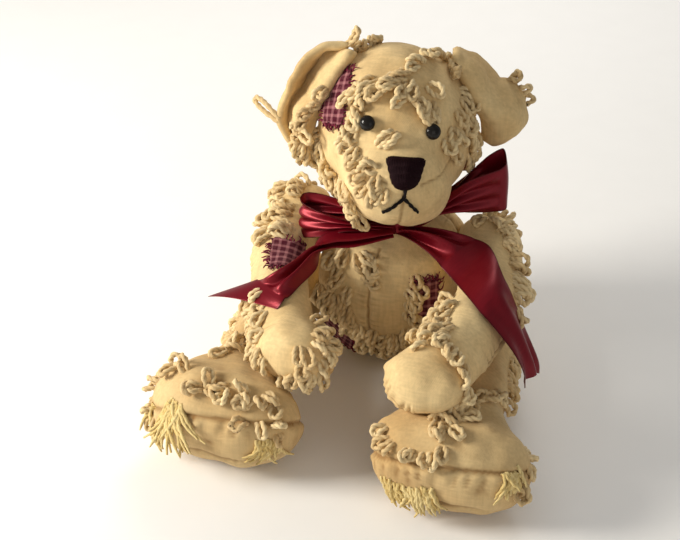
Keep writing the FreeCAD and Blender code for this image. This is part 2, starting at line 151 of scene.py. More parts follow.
def weave(paint, pitch):
    """The height of a plain weave, laid on each side of the piece along its two nearest axes."""
    x, y, z = (paint.wave(axis, pitch) for axis in paint.axes(paint.place))
    total = 0.0
    for facing, pair in zip(paint.axes(paint.normal), ((y, z), (x, z), (x, y))):
        crossing = paint.math("MULTIPLY", pair[0], pair[1])
        total = paint.math("ADD", total, paint.math("MULTIPLY", crossing, paint.math("POWER", facing, 2.0)))
    return total


def slubs(paint):
    """Threads that are thicker here and there, as streaks along the warp and the weft."""
    warp = paint.noise(900, 2.0, stretch=(1, 1, 0.07))
    weft = paint.noise(900, 2.0, stretch=(0.07, 1, 1))
    return paint.math("ADD", warp, weft)


def cotton(name, pale, deep, stain):
    """Plain woven cotton, tea-dyed in uneven patches, with painted shade darkening its creases."""
    paint = Paint(name, Roughness=0.92, Sheen_Weight=0.06, Sheen_Roughness=0.5, Specular_IOR_Level=0.15)
    threads = slubs(paint)
    patches = paint.ramp(paint.noise(28, 3.0), 0.35, 0.7)
    colour = paint.mix(patches, pale, deep)
    streak = paint.ramp(threads, 0.7, 1.3, 0.9, 1.08)
    grey = paint.make("ShaderNodeCombineColor", {0: streak, 1: streak, 2: streak})
    colour = paint.mix(1.0, colour, grey, "MULTIPLY")
    spots = paint.ramp(paint.noise(95, 4.0), 0.58, 0.75, 0.0, 0.35)
    # random stains, plus the tone attribute, which holds painted shade in the skin's hollows as well as seam and leg
    # darkening
    stains_and_painted_shade = paint.math("ADD", paint.attribute("tone"), spots, clamp=True)
    colour = paint.mix(stains_and_painted_shade, colour, stain)
    height = paint.math("ADD", paint.math("MULTIPLY", weave(paint, 0.00065), 0.35), threads)
    return paint.finish(colour, height, 0.5, 0.0002)


def yarn(name, pale, deep, shadow):
    """Soft two-ply yarn: each loop's own shade, with fine fibres along it, and painted shade in the grooves between its
    plies.
    """
    paint = Paint(name, Roughness=0.94, Sheen_Weight=0.08, Sheen_Roughness=0.5, Specular_IOR_Level=0.2)
    fibres = paint.noise(2600, 3.0)
    shade = paint.math("ADD", paint.attribute("tone"), paint.ramp(fibres, 0.3, 0.7, -0.18, 0.18), clamp=True)
    colour = paint.mix(shade, pale, deep)
    # painted shade in the grooves between the plies
    colour = paint.mix(paint.attribute("groove"), colour, shadow)
    return paint.finish(colour, fibres, 0.55, 0.0003)


def gingham(name, dark, light):
    """Small checks: dark where both threads are dyed, light where neither is."""
    paint = Paint(name, Roughness=0.92, Sheen_Weight=0.05, Sheen_Roughness=0.5, Specular_IOR_Level=0.2)
    u, v, _ = paint.axes(paint.flat)
    half = 0.0016
    bands = [paint.ramp(paint.wave(axis, 2 * half), -0.75, -0.1) for axis in (u, v)]
    share = paint.math("MULTIPLY", paint.math("ADD", bands[0], bands[1]), 0.5)
    threads = paint.math("MULTIPLY", paint.wave(u, 0.0005), paint.wave(v, 0.0005))
    fray = paint.noise(500, 3.0)
    share = paint.math("ADD", share, paint.ramp(fray, 0.3, 0.7, -0.14, 0.14), clamp=True)
    colour = paint.mix(share, light, dark)
    height = paint.math("ADD", paint.math("MULTIPLY", threads, 0.5), fray)
    return paint.finish(colour, height, 0.7, 0.0003)


def satin(name, colour, edge):
    """Satin ribbon: fine ribs across it and a thicker woven edge along each side."""
    paint = Paint(name, Roughness=0.36, Metallic=0.4, Anisotropic=0.4, Specular_IOR_Level=0.3)
    u, v, _ = paint.axes(paint.flat)
    ribs = paint.noise(1500, 2.0, where=paint.flat, stretch=(0.06, 1, 1))
    hem = paint.attribute("tone")
    shade = paint.mix(hem, colour, edge)
    shade = paint.mix(paint.ramp(ribs, 0.3, 0.7, 0.0, 0.22), shade, edge)
    height = paint.math("ADD", paint.math("MULTIPLY", ribs, 0.5), paint.math("MULTIPLY", hem, 1.2))
    return paint.finish(shade, height, 0.35, 0.0002)


def floss(name, colour, shade):
    """Glossy stranded floss, as the nose and the mouth are sewn with."""
    paint = Paint(name, Roughness=0.7, Specular_IOR_Level=0.1)
    strands = paint.noise(3200, 3.0)
    return paint.finish(paint.mix(strands, colour, shade), strands, 0.5, 0.0002)


def glossy(name, colour):
    paint = Paint(name, Roughness=0.14, Specular_IOR_Level=0.2)
    scuffs = paint.noise(400, 4.0)
    return paint.finish(paint.mix(scuffs, colour, (0.02, 0.017, 0.015, 1)), scuffs, 0.02, 0.0001)


def moulded(name, colour):
    paint = Paint(name, Roughness=0.5)
    grain = paint.noise(1200, 3.0)
    return paint.finish(paint.mix(grain, colour, (0.62, 0.6, 0.56, 1)), grain, 0.1, 0.0002)


FABRIC = cotton("cotton", (0.80, 0.61, 0.32, 1), (0.62, 0.42, 0.19, 1), (0.27, 0.145, 0.05, 1))
YARN = yarn("yarn", (0.82, 0.65, 0.37, 1), (0.60, 0.41, 0.19, 1), (0.24, 0.13, 0.045, 1))
TUFT = yarn("tuft_yarn", (0.80, 0.64, 0.31, 1), (0.62, 0.44, 0.15, 1), (0.28, 0.17, 0.04, 1))
GINGHAM = gingham("gingham", (0.085, 0.004, 0.016, 1), (0.46, 0.19, 0.20, 1))
FRAY = yarn("maroon_thread", (0.22, 0.02, 0.05, 1), (0.09, 0.006, 0.018, 1), (0.02, 0.002, 0.004, 1))
SATIN = satin("satin", (0.19, 0.004, 0.012, 1), (0.06, 0.001, 0.003, 1))
FLOSS = floss("nose_floss", (0.020, 0.003, 0.006, 1), (0.004, 0.0015, 0.002, 1))
BLACK = floss("mouth_floss", (0.006, 0.005, 0.005, 1), (0.016, 0.012, 0.012, 1))
EYE = glossy("eye_gloss", (0.004, 0.003, 0.003, 1))
PLASTIC = moulded("joint_plastic", (0.75, 0.73, 0.68, 1))


# ---------------------------------------------------------------- meshes

def mesh_object(name, points, faces, material, tone=None, groove=None, flat=None):
    """A smooth object from points in millimetres, with its shades and flat coordinates if it has any."""
    mesh = bpy.data.meshes.new(name)
    mesh.from_pydata((np.asarray(points) * MM).tolist(), [], np.asarray(faces).tolist())
    mesh.materials.append(material)
    for label, values in (("tone", tone), ("groove", groove)):
        if values is not None:
            layer = mesh.attributes.new(label, "FLOAT", "POINT")
            layer.data.foreach_set("value", np.asarray(values, np.float32))
    if flat is not None:
        corners = np.zeros(len(mesh.loops), np.int32)
        mesh.loops.foreach_get("vertex_index", corners)
        layer = mesh.uv_layers.new(name="flat")
        layer.data.foreach_set("uv", (np.asarray(flat)[corners] * MM).astype(np.float32).ravel())
    mesh.polygons.foreach_set("use_smooth", [True] * len(mesh.polygons))
    mesh.validate()
    mesh.update()
    made = bpy.data.objects.new(name, mesh)
    bpy.context.scene.collection.objects.link(made)
    return made


def grid_faces(rows, columns, closed):
    """The faces of a grid of points; closed joins its last column to its first."""
    r, c = np.meshgrid(np.arange(rows - 1), np.arange(columns if closed else columns - 1), indexing="ij")
    n = (c + 1) % columns
    return np.stack([r * columns + c, r * columns + n, (r + 1) * columns + n, (r + 1) * columns + c], -1).reshape(-1, 4)


def ball_mesh(cuts):
    """Directions over a sphere, spaced evenly, and the faces between them."""
    bm = bmesh.new()
    bmesh.ops.create_cube(bm, size=2.0)
    bmesh.ops.subdivide_edges(bm, edges=bm.edges[:], cuts=cuts, use_grid_fill=True)
    co = np.array([v.co for v in bm.verts])
    faces = [[v.index for v in f.verts] for f in bm.faces]
    bm.free()
    return unit(np.tan(co * math.pi / 4)), faces


def normals_of(points, faces):
    """Smooth outward normals at the points of a mesh of four-sided faces."""
    quads = np.asarray(faces)
    across = np.cross(points[quads[:, 2]] - points[quads[:, 0]], points[quads[:, 3]] - points[quads[:, 1]])
    total = np.zeros_like(points)
    for corner in range(4):
        np.add.at(total, quads[:, corner], across)
    return unit(total)


def ripple(points, size, seed, waves=9):
    """Gentle uneven swelling, about -1 to 1, whose humps are about that size."""
    chance = np.random.default_rng(seed)
    ways = unit(chance.normal(size=(waves, 3))) * (2 * math.pi / size) * chance.uniform(0.6, 1.4, (waves, 1))
    return np.sin(points @ ways.T + chance.uniform(0, 6.3, waves)).sum(1) / math.sqrt(waves)


def along_path(points, path):
    """How far each point is from a line of points, and how far along it the nearest place is."""
    best = np.full(len(points), np.inf)
    along = np.zeros(len(points))
    start = 0.0
    for a, b in zip(path[:-1], path[1:]):
        step = b - a
        t = np.clip((points - a) @ step / (step @ step), 0, 1)
        away = np.linalg.norm(points - a - t[:, None] * step, axis=1)
        closer = away < best
        best[closer] = away[closer]
        along[closer] = start + t[closer] * np.linalg.norm(step)
        start += np.linalg.norm(step)
    return best, along


def curve_through(points, count):
    """A smooth line through a few points, as that many even steps."""
    p = np.asarray(points, float)
    if len(p) == 2:
        return p[0] + np.linspace(0, 1, count)[:, None] * (p[1] - p[0])
    p = np.vstack([2 * p[0] - p[1], p, 2 * p[-1] - p[-2]])
    spans = len(p) - 3
    t = np.linspace(0, spans, count)
    k = np.minimum(t.astype(int), spans - 1)
    u = (t - k)[:, None]
    a, b, c, d = p[k], p[k + 1], p[k + 2], p[k + 3]
    return 0.5 * (2 * b + (c - a) * u + (2 * a - 5 * b + 4 * c - d) * u ** 2 + (3 * b - a - 3 * c + d) * u ** 3)


# ---------------------------------------------------------------- stuffed skins

PUCKER_PITCH = 3.6
PUCKER_REACH = 4.5


class Skin:
    """A stuffed piece's fabric: seams are sewn into it, and loops and patches are put on it."""

    def __init__(self, name, body, points, faces, seed):
        self.name = name
        self.body = body
        self.points = points
        self.faces = faces
        self.tone = np.zeros(len(points))
        self.refresh()
        self.lift(0.55 * ripple(points, 26, seed) + 0.25 * ripple(points, 11, seed + 1))

    def refresh(self):
        self.normals = normals_of(self.points, self.faces)
        self.tree = BVHTree.FromPolygons([Vector(p) for p in self.points], self.faces)

    def lift(self, heights):
        self.points = self.points + self.normals * heights[:, None]
        self.refresh()

    def nearest(self, point):
        """The place on the skin nearest to a point, and the outward normal there."""
        place, normal, _, _ = self.tree.find_nearest(Vector(point))
        return np.array(place), np.array(normal)

    def path(self, points, count=40):
        """A line over the skin near a few points."""
        return np.array([self.nearest(p)[0] for p in curve_through(points, count)])

    def seam(self, points, depth=0.8, width=0.9, pucker=0.3, seam_darkening=0.35):
        """A sewn seam: a groove, with small gathers on both sides of it."""
        away, along = along_path(self.points, self.path(points))
        near = np.exp(-(away / width) ** 2)
        wave = np.sin(2 * math.pi * along / PUCKER_PITCH + 1.5 * np.sin(along * 0.55))
        gather = pucker * wave * np.exp(-(away / PUCKER_REACH) ** 2) * (1 - near)
        self.lift(gather - depth * near)
        # the line of the seam is painted darker by this amount
        self.tone += seam_darkening * np.exp(-(away / (0.7 * width)) ** 2)

    def dent(self, centre, reach, depth):
        """A soft hollow, or a swelling if depth is below zero."""
        away = np.linalg.norm(self.points - centre, axis=1)
        self.lift(-depth * np.exp(-(away / reach) ** 2))

    def crease(self, points, depth, width):
        """A fold in the fabric that fades at both its ends."""
        path = self.path(points)
        away, along = along_path(self.points, path)
        length = np.linalg.norm(np.diff(path, axis=0), axis=1).sum()
        fade = np.sin(np.clip(along / length, 0, 1) * math.pi)
        self.lift(-depth * fade * np.exp(-(away / width) ** 2))

    def shade(self):
        """Painted shade: tone rises where the skin is hollow, so its crevices are painted darker."""
        quads = np.asarray(self.faces)
        total = np.zeros_like(self.points)
        count = np.zeros(len(self.points))
        for corner in range(4):
            np.add.at(total, quads[:, corner], self.points[quads[:, (corner + 1) % 4]])
            np.add.at(count, quads[:, corner], 1)
        hollow = ((total / count[:, None] - self.points) * self.normals).sum(1)
        # painted shade in the hollows is added here to the tone the skin already has
        return np.clip(self.tone + np.clip(hollow * 5 - 0.02, 0, 0.5), 0, 0.8)

    def build(self, *nodes, fill=0.8):
        made = mesh_object(self.name, self.points, self.faces, FABRIC, self.shade())
        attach(made, self.body)
        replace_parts(made, *nodes)
        return made


def bulge(points, centre, half, turn=None):
    """About how far points are outside an ellipsoid, below zero inside it."""
    local = (points - centre) @ (np.eye(3) if turn is None else turn)
    near = np.linalg.norm(local / half, axis=1)
    steep = np.linalg.norm(local / np.square(half), axis=1)
    return near * (near - 1) / np.maximum(steep, 1e-9)


def soft_min(a, b, reach):
    share = np.clip(0.5 + 0.5 * (b - a) / reach, 0, 1)
    return b + (a - b) * share - reach * share * (1 - share)


def soft_max(a, b, reach):
    return -soft_min(-a, -b, reach)


def shrink_wrap(centre, field, cuts, reach=75.0, steps=90):
    """A closed mesh round a shape that is given as a field of distances, seen from a centre inside it."""
    ways, faces = ball_mesh(cuts)
    inner = np.zeros(len(ways))
    for step in np.linspace(0, reach, steps):
        inner = np.where(field(centre + ways * step) < 0, step, inner)
    outer = inner + reach / (steps - 1)
    for _ in range(14):
        middle = (inner + outer) / 2
        inside = field(centre + ways * middle[:, None]) < 0
        inner = np.where(inside, middle, inner)
        outer = np.where(inside, outer, middle)
    return centre + ways * inner[:, None], faces


# ---------------------------------------------------------------- the bear's shapes, as in the CAD model

JOINT_GAP = 0.5
NECK = (vec(-2.5, 8.3, 70.4), unit(vec(0.035, 0.156, 0.987)))
SHOULDER = {s: (vec(s * 28.5, 4, 52), unit(vec(s * 0.965, -0.22, 0.14))) for s in (1, -1)}
HIP = {s: (vec(s * 28.3, 1, 20), unit(vec(s * 0.995, 0, -0.10))) for s in (1, -1)}
HEAD_TURN = turn_onto(NECK[1]) @ turn_about((0, 0, 1), 20.5)
KNOT_TURN = turn_onto(NECK[1]) @ turn_about((0, 0, 1), 25.0)


def on_head(*local):
    """A point on the head, from its place above the neck joint."""
    return NECK[0] + HEAD_TURN @ vec(*local)


def torso_skin():
    turn = turn_about((0, 1, 0), -4) @ turn_about((1, 0, 0), -10)
    faces = [NECK, *SHOULDER.values(), *HIP.values()]

    def field(points):
        away = bulge(points, vec(0, 2, 35), vec(37, 27, 40), turn)
        for place, axis in faces:
            away = soft_max(away, (points - place) @ axis + JOINT_GAP / 2, 3.0)
        return soft_max(away, 0.3 - points[:, 2], 4.0)

    points, grid = shrink_wrap(vec(0, 2, 33), field, 70)
    return Skin("torso_fabric", "torso", points, grid, 3)


def head_skin():
    skull = (vec(-2, -4, 30), vec(31, 30.5, 33.5))
    muzzle = (vec(-1.5, -28, 18.4), vec(20, 18, 18.4))

    def field(points):
        away = soft_min(bulge(points, *skull), bulge(points, *muzzle), 7.0)
        return soft_max(away, 0.3 - points[:, 2], 3.0)

    points, grid = shrink_wrap(vec(-2, -7, 26), field, 84)
    return Skin("head_fabric", "head", NECK[0] + points @ HEAD_TURN.T, grid, 5)


def limb_skin(name, body, stations, joint, rings=120, sides=100, seed=7, block=1.0):
    """A stuffed limb: oval rings that face along Y through its stations, with round ends.

    A block below 1 makes its far end squarer."""
    side, (place, axis) = joint
    core = curve_through(stations, rings)
    first, last = core[0], core[-1]
    angles = np.radians(np.linspace(88, 3, 26))
    head = [np.concatenate([first[:3] + vec(0, first[4] * math.sin(a), 0), first[3:] * math.cos(a)]) for a in angles]
    tail = [np.concatenate([last[:3] - vec(0, last[4] * math.sin(a), 0), last[3:] * math.cos(a) ** block])
            for a in angles[::-1]]
    core = np.vstack([head, core, tail])
    around = np.linspace(0, 2 * math.pi, sides, endpoint=False)
    share = np.clip((np.arange(len(core)) / len(core) - 0.5) / 0.25, 0, 1)[:, None]
    power = 1 + (block - 1) * share
    cosine, sine = (np.sign(wave) * np.abs(wave) ** power for wave in (np.cos(around)[None], np.sin(around)[None]))
    oval = np.stack([cosine, np.zeros_like(cosine), sine], -1)
    half = np.stack([core[:, 3], np.zeros(len(core)), core[:, 4]], -1)
    points = (core[:, None, :3] + oval * half[:, None]).reshape(-1, 3)
    faces = grid_faces(len(core), sides, True).tolist()
    points, faces = close_ends(points, faces, len(core), sides)
    away = (points - place) @ axis - JOINT_GAP / 2
    near = np.exp(-(np.maximum(np.linalg.norm(points - place, axis=1) - 22, 0) / 6) ** 2)
    kept = 0.5 * (away + np.sqrt(away ** 2 + 4.0))
    points = points + axis * ((kept - away) * near)[:, None]
    points[:, 2] = 0.5 + np.maximum(points[:, 2] - 0.5, 0)
    return Skin(name, body, points, faces, seed)


def close_ends(points, faces, rows, sides):
    """Closes both ends of a tube with rings that shrink to almost nothing, as four-sided faces."""
    for ring in (0, rows - 1):
        start = ring * sides
        middle = points[start:start + sides].mean(0)
        index = len(points)
        points = np.vstack([points, middle])
        for k in range(0, sides, 2):
            corners = [start + k, start + (k + 1) % sides, start + (k + 2) % sides, index]
            faces.append(corners[::-1] if ring == 0 else corners)
    return points, faces


ARM_RIGHT = [(-39.6, 3.5, 54, 14, 14), (-41, -13, 52, 12.7, 12.7), (-37, -32, 49, 12.7, 12.7),
             (-29, -51, 46, 12.7, 12.7), (-17, -69.5, 43.4, 16, 12.3)]
ARM_LEFT = [(39.6, 3.5, 54, 14, 14), (44.5, -13, 53, 12.7, 12.7), (47.5, -33, 51.5, 12.7, 12.7),
            (43, -54, 49.5, 12.7, 12.7), (34.5, -75, 47.5, 16, 12.3)]
LEG_RIGHT = [(-39.6, 1, 20.2, 14.5, 14.5), (-42, -25, 20, 13, 13), (-42, -49, 19.5, 13, 13),
             (-42, -64, 19.5, 15.5, 14), (-40.5, -84, 19.3, 30, 19)]
LEG_LEFT = [(39.6, 1, 20.2, 14.5, 14.5), (45.5, -24, 20, 13, 13), (48, -46, 19.5, 13, 13),
            (48.5, -62, 19.5, 15.5, 14), (48, -82, 19.3, 30, 19)]

TORSO = torso_skin()
HEAD = head_skin()
ARMS = {-1: limb_skin("arm_right_fabric", "arm_right", ARM_RIGHT, (-1, SHOULDER[-1]), seed=21),
        1: limb_skin("arm_left_fabric", "arm_left", ARM_LEFT, (1, SHOULDER[1]), seed=22)}
LEGS = {-1: limb_skin("leg_right_fabric", "leg_right", LEG_RIGHT, (-1, HIP[-1]), sides=140, seed=23, block=0.72),
        1: limb_skin("leg_left_fabric", "leg_left", LEG_LEFT, (1, HIP[1]), sides=140, seed=24, block=0.72)}


# ---------------------------------------------------------------- yarn

LOBE = 0.26
DENSITY = 0.85
REACH = 0.66
PLY_PITCH = 3.0
AROUND = 8
YARN_RADIUS = 0.98


def tubes(name, paths, planes, radius, material, body, tones, taper=None):
    """Two-ply yarn along many paths of the same number of points, as one piece.

    paths is loops by points by 3, and planes gives a direction across each path at each point."""
    run = np.gradient(paths, axis=1)
    steps = np.linalg.norm(np.diff(paths, axis=1), axis=2)
    along = np.concatenate([np.zeros((len(paths), 1)), np.cumsum(steps, 1)], 1)
    run = unit(run)
    side = unit(planes - (planes * run).sum(2, keepdims=True) * run)
    other = np.cross(run, side)
    theta = np.linspace(0, 2 * math.pi, AROUND, endpoint=False)
    ply = np.cos(2 * (theta[None, None] - 2 * math.pi * along[..., None] / (2 * PLY_PITCH)))
    size = radius * (1 + LOBE * ply)
    if taper is not None:
        size = size * taper[..., None]
    ring = side[:, :, None] * np.cos(theta)[:, None] + other[:, :, None] * np.sin(theta)[:, None]
    points = paths[:, :, None] + ring * size[..., None]
    count, length = paths.shape[:2]
    faces = grid_faces(length, AROUND, True)
    faces = (faces[None] + (np.arange(count) * length * AROUND)[:, None, None]).reshape(-1, 4)
    tone = np.broadcast_to(tones[:, None, None], ply.shape).ravel()
    # painted shade for the grooves between the two plies, strongest where the ply lobes dip in
    groove = np.clip(-ply * 0.5 - 0.05, 0, 1).ravel()
    made = mesh_object(name, points.reshape(-1, 3), faces, material, tone, groove)
    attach(made, body)
    return made


class Surface:
    """A finished piece that loops can be sewn to."""

    def __init__(self, made, body):
        mesh = made.data
        points = np.zeros(len(mesh.vertices) * 3)
        mesh.vertices.foreach_get("co", points)
        self.body = body
        self.tree = BVHTree.FromPolygons([Vector(p) / MM for p in points.reshape(-1, 3)],
                                         [face.vertices[:] for face in mesh.polygons])

    nearest = Skin.nearest


class Fringe:
    """Loops of yarn sewn to one skin, gathered up to be made as one piece."""

    STEPS = 26

    def __init__(self, skin):
        self.skin = skin
        self.paths = []
        self.planes = []
        self.tones = []

    def loop(self, root, lean, length, width, lift, twist, hug):
        """One hairpin loop from a root on the skin, leaning that way, twisted on itself."""
        base, normal = self.skin.nearest(root)
        lean = unit(lean - (lean @ normal) * normal)
        across = np.cross(normal, lean)
        u = np.linspace(0, 1, self.STEPS)
        t = np.sin(math.pi * u)
        spread = width * (0.34 * np.cos(math.pi * u) + 0.42 * np.sin(2 * math.pi * u))
        rise = lift * (2.3 * t - 1.5 * t ** 2) - 0.8 * (1 - t) ** 3
        spine = base + np.outer(t ** 1.1 * length, lean) + np.outer(rise, normal)
        spine[:, 2] -= 0.012 * length * length * t ** 2 * (1 - hug)
        for k in range(self.STEPS):
            place, facing = self.skin.nearest(spine[k])
            height = max(rise[k], 0.9 if 0.12 < t[k] else rise[k])
            spine[k] += hug * (place + facing * height - spine[k])
        angle = twist * t
        side = across[None] * np.cos(angle)[:, None] + normal[None] * np.sin(angle)[:, None]
        self.paths.append(spine + side * spread[:, None])
        self.planes.append(np.cross(side, lean))
        self.tones.append(CHANCE.uniform(0.0, 0.75))

    def row(self, points, count, length=(8, 13), lean=None, wild=0.5, hug=(0.45, 1.0)):
        """Loops along a line on the skin, all leaning about the same way."""
        line = curve_through(points, 60)
        for place in np.linspace(0, 59, max(2, round(count * DENSITY))):
            root = line[int(place)] + CHANCE.normal(0, 1.2, 3)
            way = unit(DOWN if lean is None else vec(*lean)) + CHANCE.normal(0, wild * 0.55, 3)
            self.loop(root, way, REACH * CHANCE.uniform(*length), CHANCE.uniform(2.2, 3.3), CHANCE.uniform(1.4, 3.4),
                      CHANCE.uniform(-1.6, 1.6), CHANCE.uniform(*hug))

    def build(self, name, *nodes):
        made = tubes(name, np.array(self.paths), np.array(self.planes), YARN_RADIUS, YARN, self.skin.body,
                     np.array(self.tones))
        if nodes:
            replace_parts(made, *nodes)
        return made


def threads(name, skin, roots, leans, lengths, lifts, radius, material, curl=0.35):
    """Loose frayed threads that start on a skin and lie over it."""
    steps = 12
    u = np.linspace(0, 1, steps)
    paths = []
    for root, lean, length, lift in zip(roots, leans, lengths, lifts):
        base, normal = skin.nearest(root)
        lean = unit(lean - (lean @ normal) * normal * 0.8)
        across = np.cross(normal, lean)
        bend = CHANCE.normal(0, curl)
        path = base + np.outer(u * length, lean) + np.outer(np.sin(u * 2.6) * lift - 0.3, normal)
        path += np.outer(bend * length * u ** 2 + 0.3 * np.sin(u * 9 + bend * 9) * u, across)
        for k in range(steps):
            place, facing = skin.nearest(path[k])
            under = (path[k] - place) @ facing
            if k > 1 and under < radius:
                path[k] += facing * (radius - under)
        paths.append(path)
    paths = np.array(paths)
    planes = np.broadcast_to(unit(CHANCE.normal(size=(len(paths), 1, 3))), paths.shape)
    taper = np.broadcast_to(1 - 0.6 * u ** 3, paths.shape[:2])
    return tubes(name, paths, planes, radius, material, skin.body, CHANCE.uniform(0, 0.9, len(paths)), taper)


# ---------------------------------------------------------------- gingham patches

def patch(name, skin, centre, along, size, node, seed):
    """A gingham square laid on a skin, raw at its edges, with its threads pulled out all round."""
    chance = np.random.default_rng(seed)
    base, normal = skin.nearest(centre)
    along = unit(along - (along @ normal) * normal)
    across = np.cross(normal, along)
    wide, long = size
    rows = 30
    u, v = np.meshgrid(np.linspace(-0.5, 0.5, rows), np.linspace(-0.5, 0.5, rows), indexing="ij")
    u, v = u.ravel(), v.ravel()
    edge = np.maximum(np.abs(u), np.abs(v)) * 2
    wobble = 0.6 * np.sin(9 * u + seed) * np.abs(v) + 0.6 * np.sin(11 * v + 2 * seed) * np.abs(u)
    flat = np.stack([u * wide + wobble, v * long + wobble], -1)
    points = []
    for (a, b), rim in zip(flat, edge):
        place, facing = skin.nearest(base + across * a + along * b)
        points.append(place + facing * (0.55 + 0.5 * rim ** 6 * (0.5 + 0.5 * math.sin(a * 1.7 + b * 2.1 + seed))))
    points = np.array(points)
    made = mesh_object(name, points, grid_faces(rows, rows, False), GINGHAM, flat=flat)
    thick = made.modifiers.new("thickness", "SOLIDIFY")
    thick.thickness = 0.35 * MM
    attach(made, skin.body)
    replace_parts(made, node)
    roots, leans = [], []
    for a, b, way in [(s * 0.5, t, vec(s, 0)) for s in (-1, 1) for t in np.linspace(-0.5, 0.5, 17)] + \
                     [(t, s * 0.5, vec(0, s)) for s in (-1, 1) for t in np.linspace(-0.5, 0.5, 17)]:
        roots.append(base + across * (a * wide * 0.96) + along * (b * long * 0.96))
        sway = way + chance.normal(0, 0.3, 2)
        leans.append(across * sway[0] + along * sway[1])
    frays = threads(name + "_fray", skin, roots, leans, chance.uniform(1.5, 4.2, len(roots)),
                    chance.uniform(0.7, 1.6, len(roots)), 0.32, FRAY)
    return made


# ---------------------------------------------------------------- camera, lights and floor

CAMERA_AZIMUTH = 18
CAMERA_ELEVATION = 37
CAMERA_DISTANCE = 520
CAMERA_TARGET = (-14, -25, 51)
CAMERA_LENS = 68.3
LIGHT_TARGET = (0, -30, 50)
# Each light's name, place, size, power and colour.
LIGHTS = (("key", (-575, -290, 340), 240, 5.9, (1.0, 0.95, 0.86)),
          ("fill", (420, -500, 260), 420, 0.5, (1.0, 0.95, 0.88)),
          ("rim", (-60, 520, 480), 300, 1.6, (1.0, 0.97, 0.92)))
FLOOR_HALF = 3000


def studio():
    """The camera at the photograph's angle, soft lights and the floor."""
    camera = bpy.data.objects.new("camera", bpy.data.cameras.new("camera"))
    bpy.context.scene.collection.objects.link(camera)
    azimuth, elevation = math.radians(CAMERA_AZIMUTH), math.radians(CAMERA_ELEVATION)
    back = vec(math.sin(azimuth) * math.cos(elevation), -math.cos(azimuth) * math.cos(elevation), math.sin(elevation))
    camera.location = Vector((vec(*CAMERA_TARGET) + back * CAMERA_DISTANCE) * MM)
    camera.rotation_euler = Vector(back).to_track_quat("Z", "Y").to_euler()
    camera.data.lens = CAMERA_LENS
    camera.data.sensor_width = 36
    camera.data.clip_start = 0.01
    bpy.context.scene.view_settings.view_transform = "Standard"
    bpy.context.scene.camera = camera
    world = bpy.data.worlds.new("studio")
    bpy.context.scene.world = world
    world.use_nodes = True
    world.node_tree.nodes["Background"].inputs["Color"].default_value = (1.0, 0.985, 0.95, 1)
    world.node_tree.nodes["Background"].inputs["Strength"].default_value = 0.3
    for name, place, size, power, colour in LIGHTS:
        lamp = bpy.data.objects.new(name, bpy.data.lights.new(name, "AREA"))
        bpy.context.scene.collection.objects.link(lamp)
        lamp.location = Vector(vec(*place) * MM)
        lamp.rotation_euler = Vector(vec(*place) - vec(*LIGHT_TARGET)).to_track_quat("Z", "Y").to_euler()
        lamp.data.size = size * MM
        lamp.data.energy = power
        lamp.data.color = colour
    corners = [(x * FLOOR_HALF, y * FLOOR_HALF, 0) for x, y in ((-1, -1), (1, -1), (1, 1), (-1, 1))]
    floor = mesh_object("floor", corners, [(0, 1, 2, 3)], floor_material())


def floor_material():
    paint = Paint("floor_paper", Roughness=0.9)
    grain = paint.noise(60, 3.0)
    return paint.finish(paint.mix(grain, (0.96, 0.955, 0.945, 1), (0.93, 0.925, 0.915, 1)), grain, 0.03, 0.0003)


studio()


# ---------------------------------------------------------------- skins: seams, folds and soles

TORSO.seam([(-1, -24, 64), (-2, -27, 48), (-2, -27, 30), (0, -20, 10)])
TORSO.seam([(0, 26, 66), (0, 30, 40), (0, 27, 20)])
for side in (-1, 1):
    TORSO.seam([(side * 22, 4, 68), (side * 36, 6, 36), (side * 30, 6, 8)], depth=0.6)
TORSO.build("torso_shell", "torso_stuffing")

HEAD.seam([on_head(-1.2, -46, 20), on_head(-1.2, -44, 10), on_head(-1.2, -34, 2), on_head(-1.2, -20, 0)],
          depth=0.5, pucker=0.12)
for side in (-1, 1):
    HEAD.seam([on_head(-1.2 + side * 7, -44, 24), on_head(-1.2 + side * 15, -36, 26),
               on_head(-1.2 + side * 22, -26, 32), on_head(-2 + side * 26, -12, 48),
               on_head(-2 + side * 20, 4, 60), on_head(-2 + side * 9, 22, 48), on_head(-2 + side * 2, 28, 22)],
              depth=0.35, width=0.7, pucker=0.1, seam_darkening=0.25)
for eye in ("eye_left", "eye_right"):
    low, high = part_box(eye)
    HEAD.dent((np.array(low) + np.array(high)) / 2 / MM, 5.0, -0.7)
HEAD.build("head_shell", "head_stuffing", fill=0.95)

PAW_SEAMS = {-1: [(-4, -60, 46), (-3, -72, 42), (-10, -82, 38), (-22, -80, 33)],
             1: [(24, -60, 50), (20, -74, 48), (24, -84, 43), (34, -88, 38)]}
for side, word in ((-1, "right"), (1, "left")):
    arm = ARMS[side]
    arm.seam(PAW_SEAMS[side], depth=1.1, width=1.0, pucker=0.5)
    arm.seam([(side * 52, 0, 52), (side * 58, -30, 50), (side * 50, -60, 46)], depth=0.7)
    arm.build("arm_%s_shell" % word, "arm_%s_stuffing" % word, fill=0.75)

SOLE_WAY = unit(vec(0.1, -0.57, -0.82))
SOLE_INSET = 1.0
LEG_DARKENING = 0.1
FOOT_DARKENING = 0.18
PLEAT_PITCH = 5.5


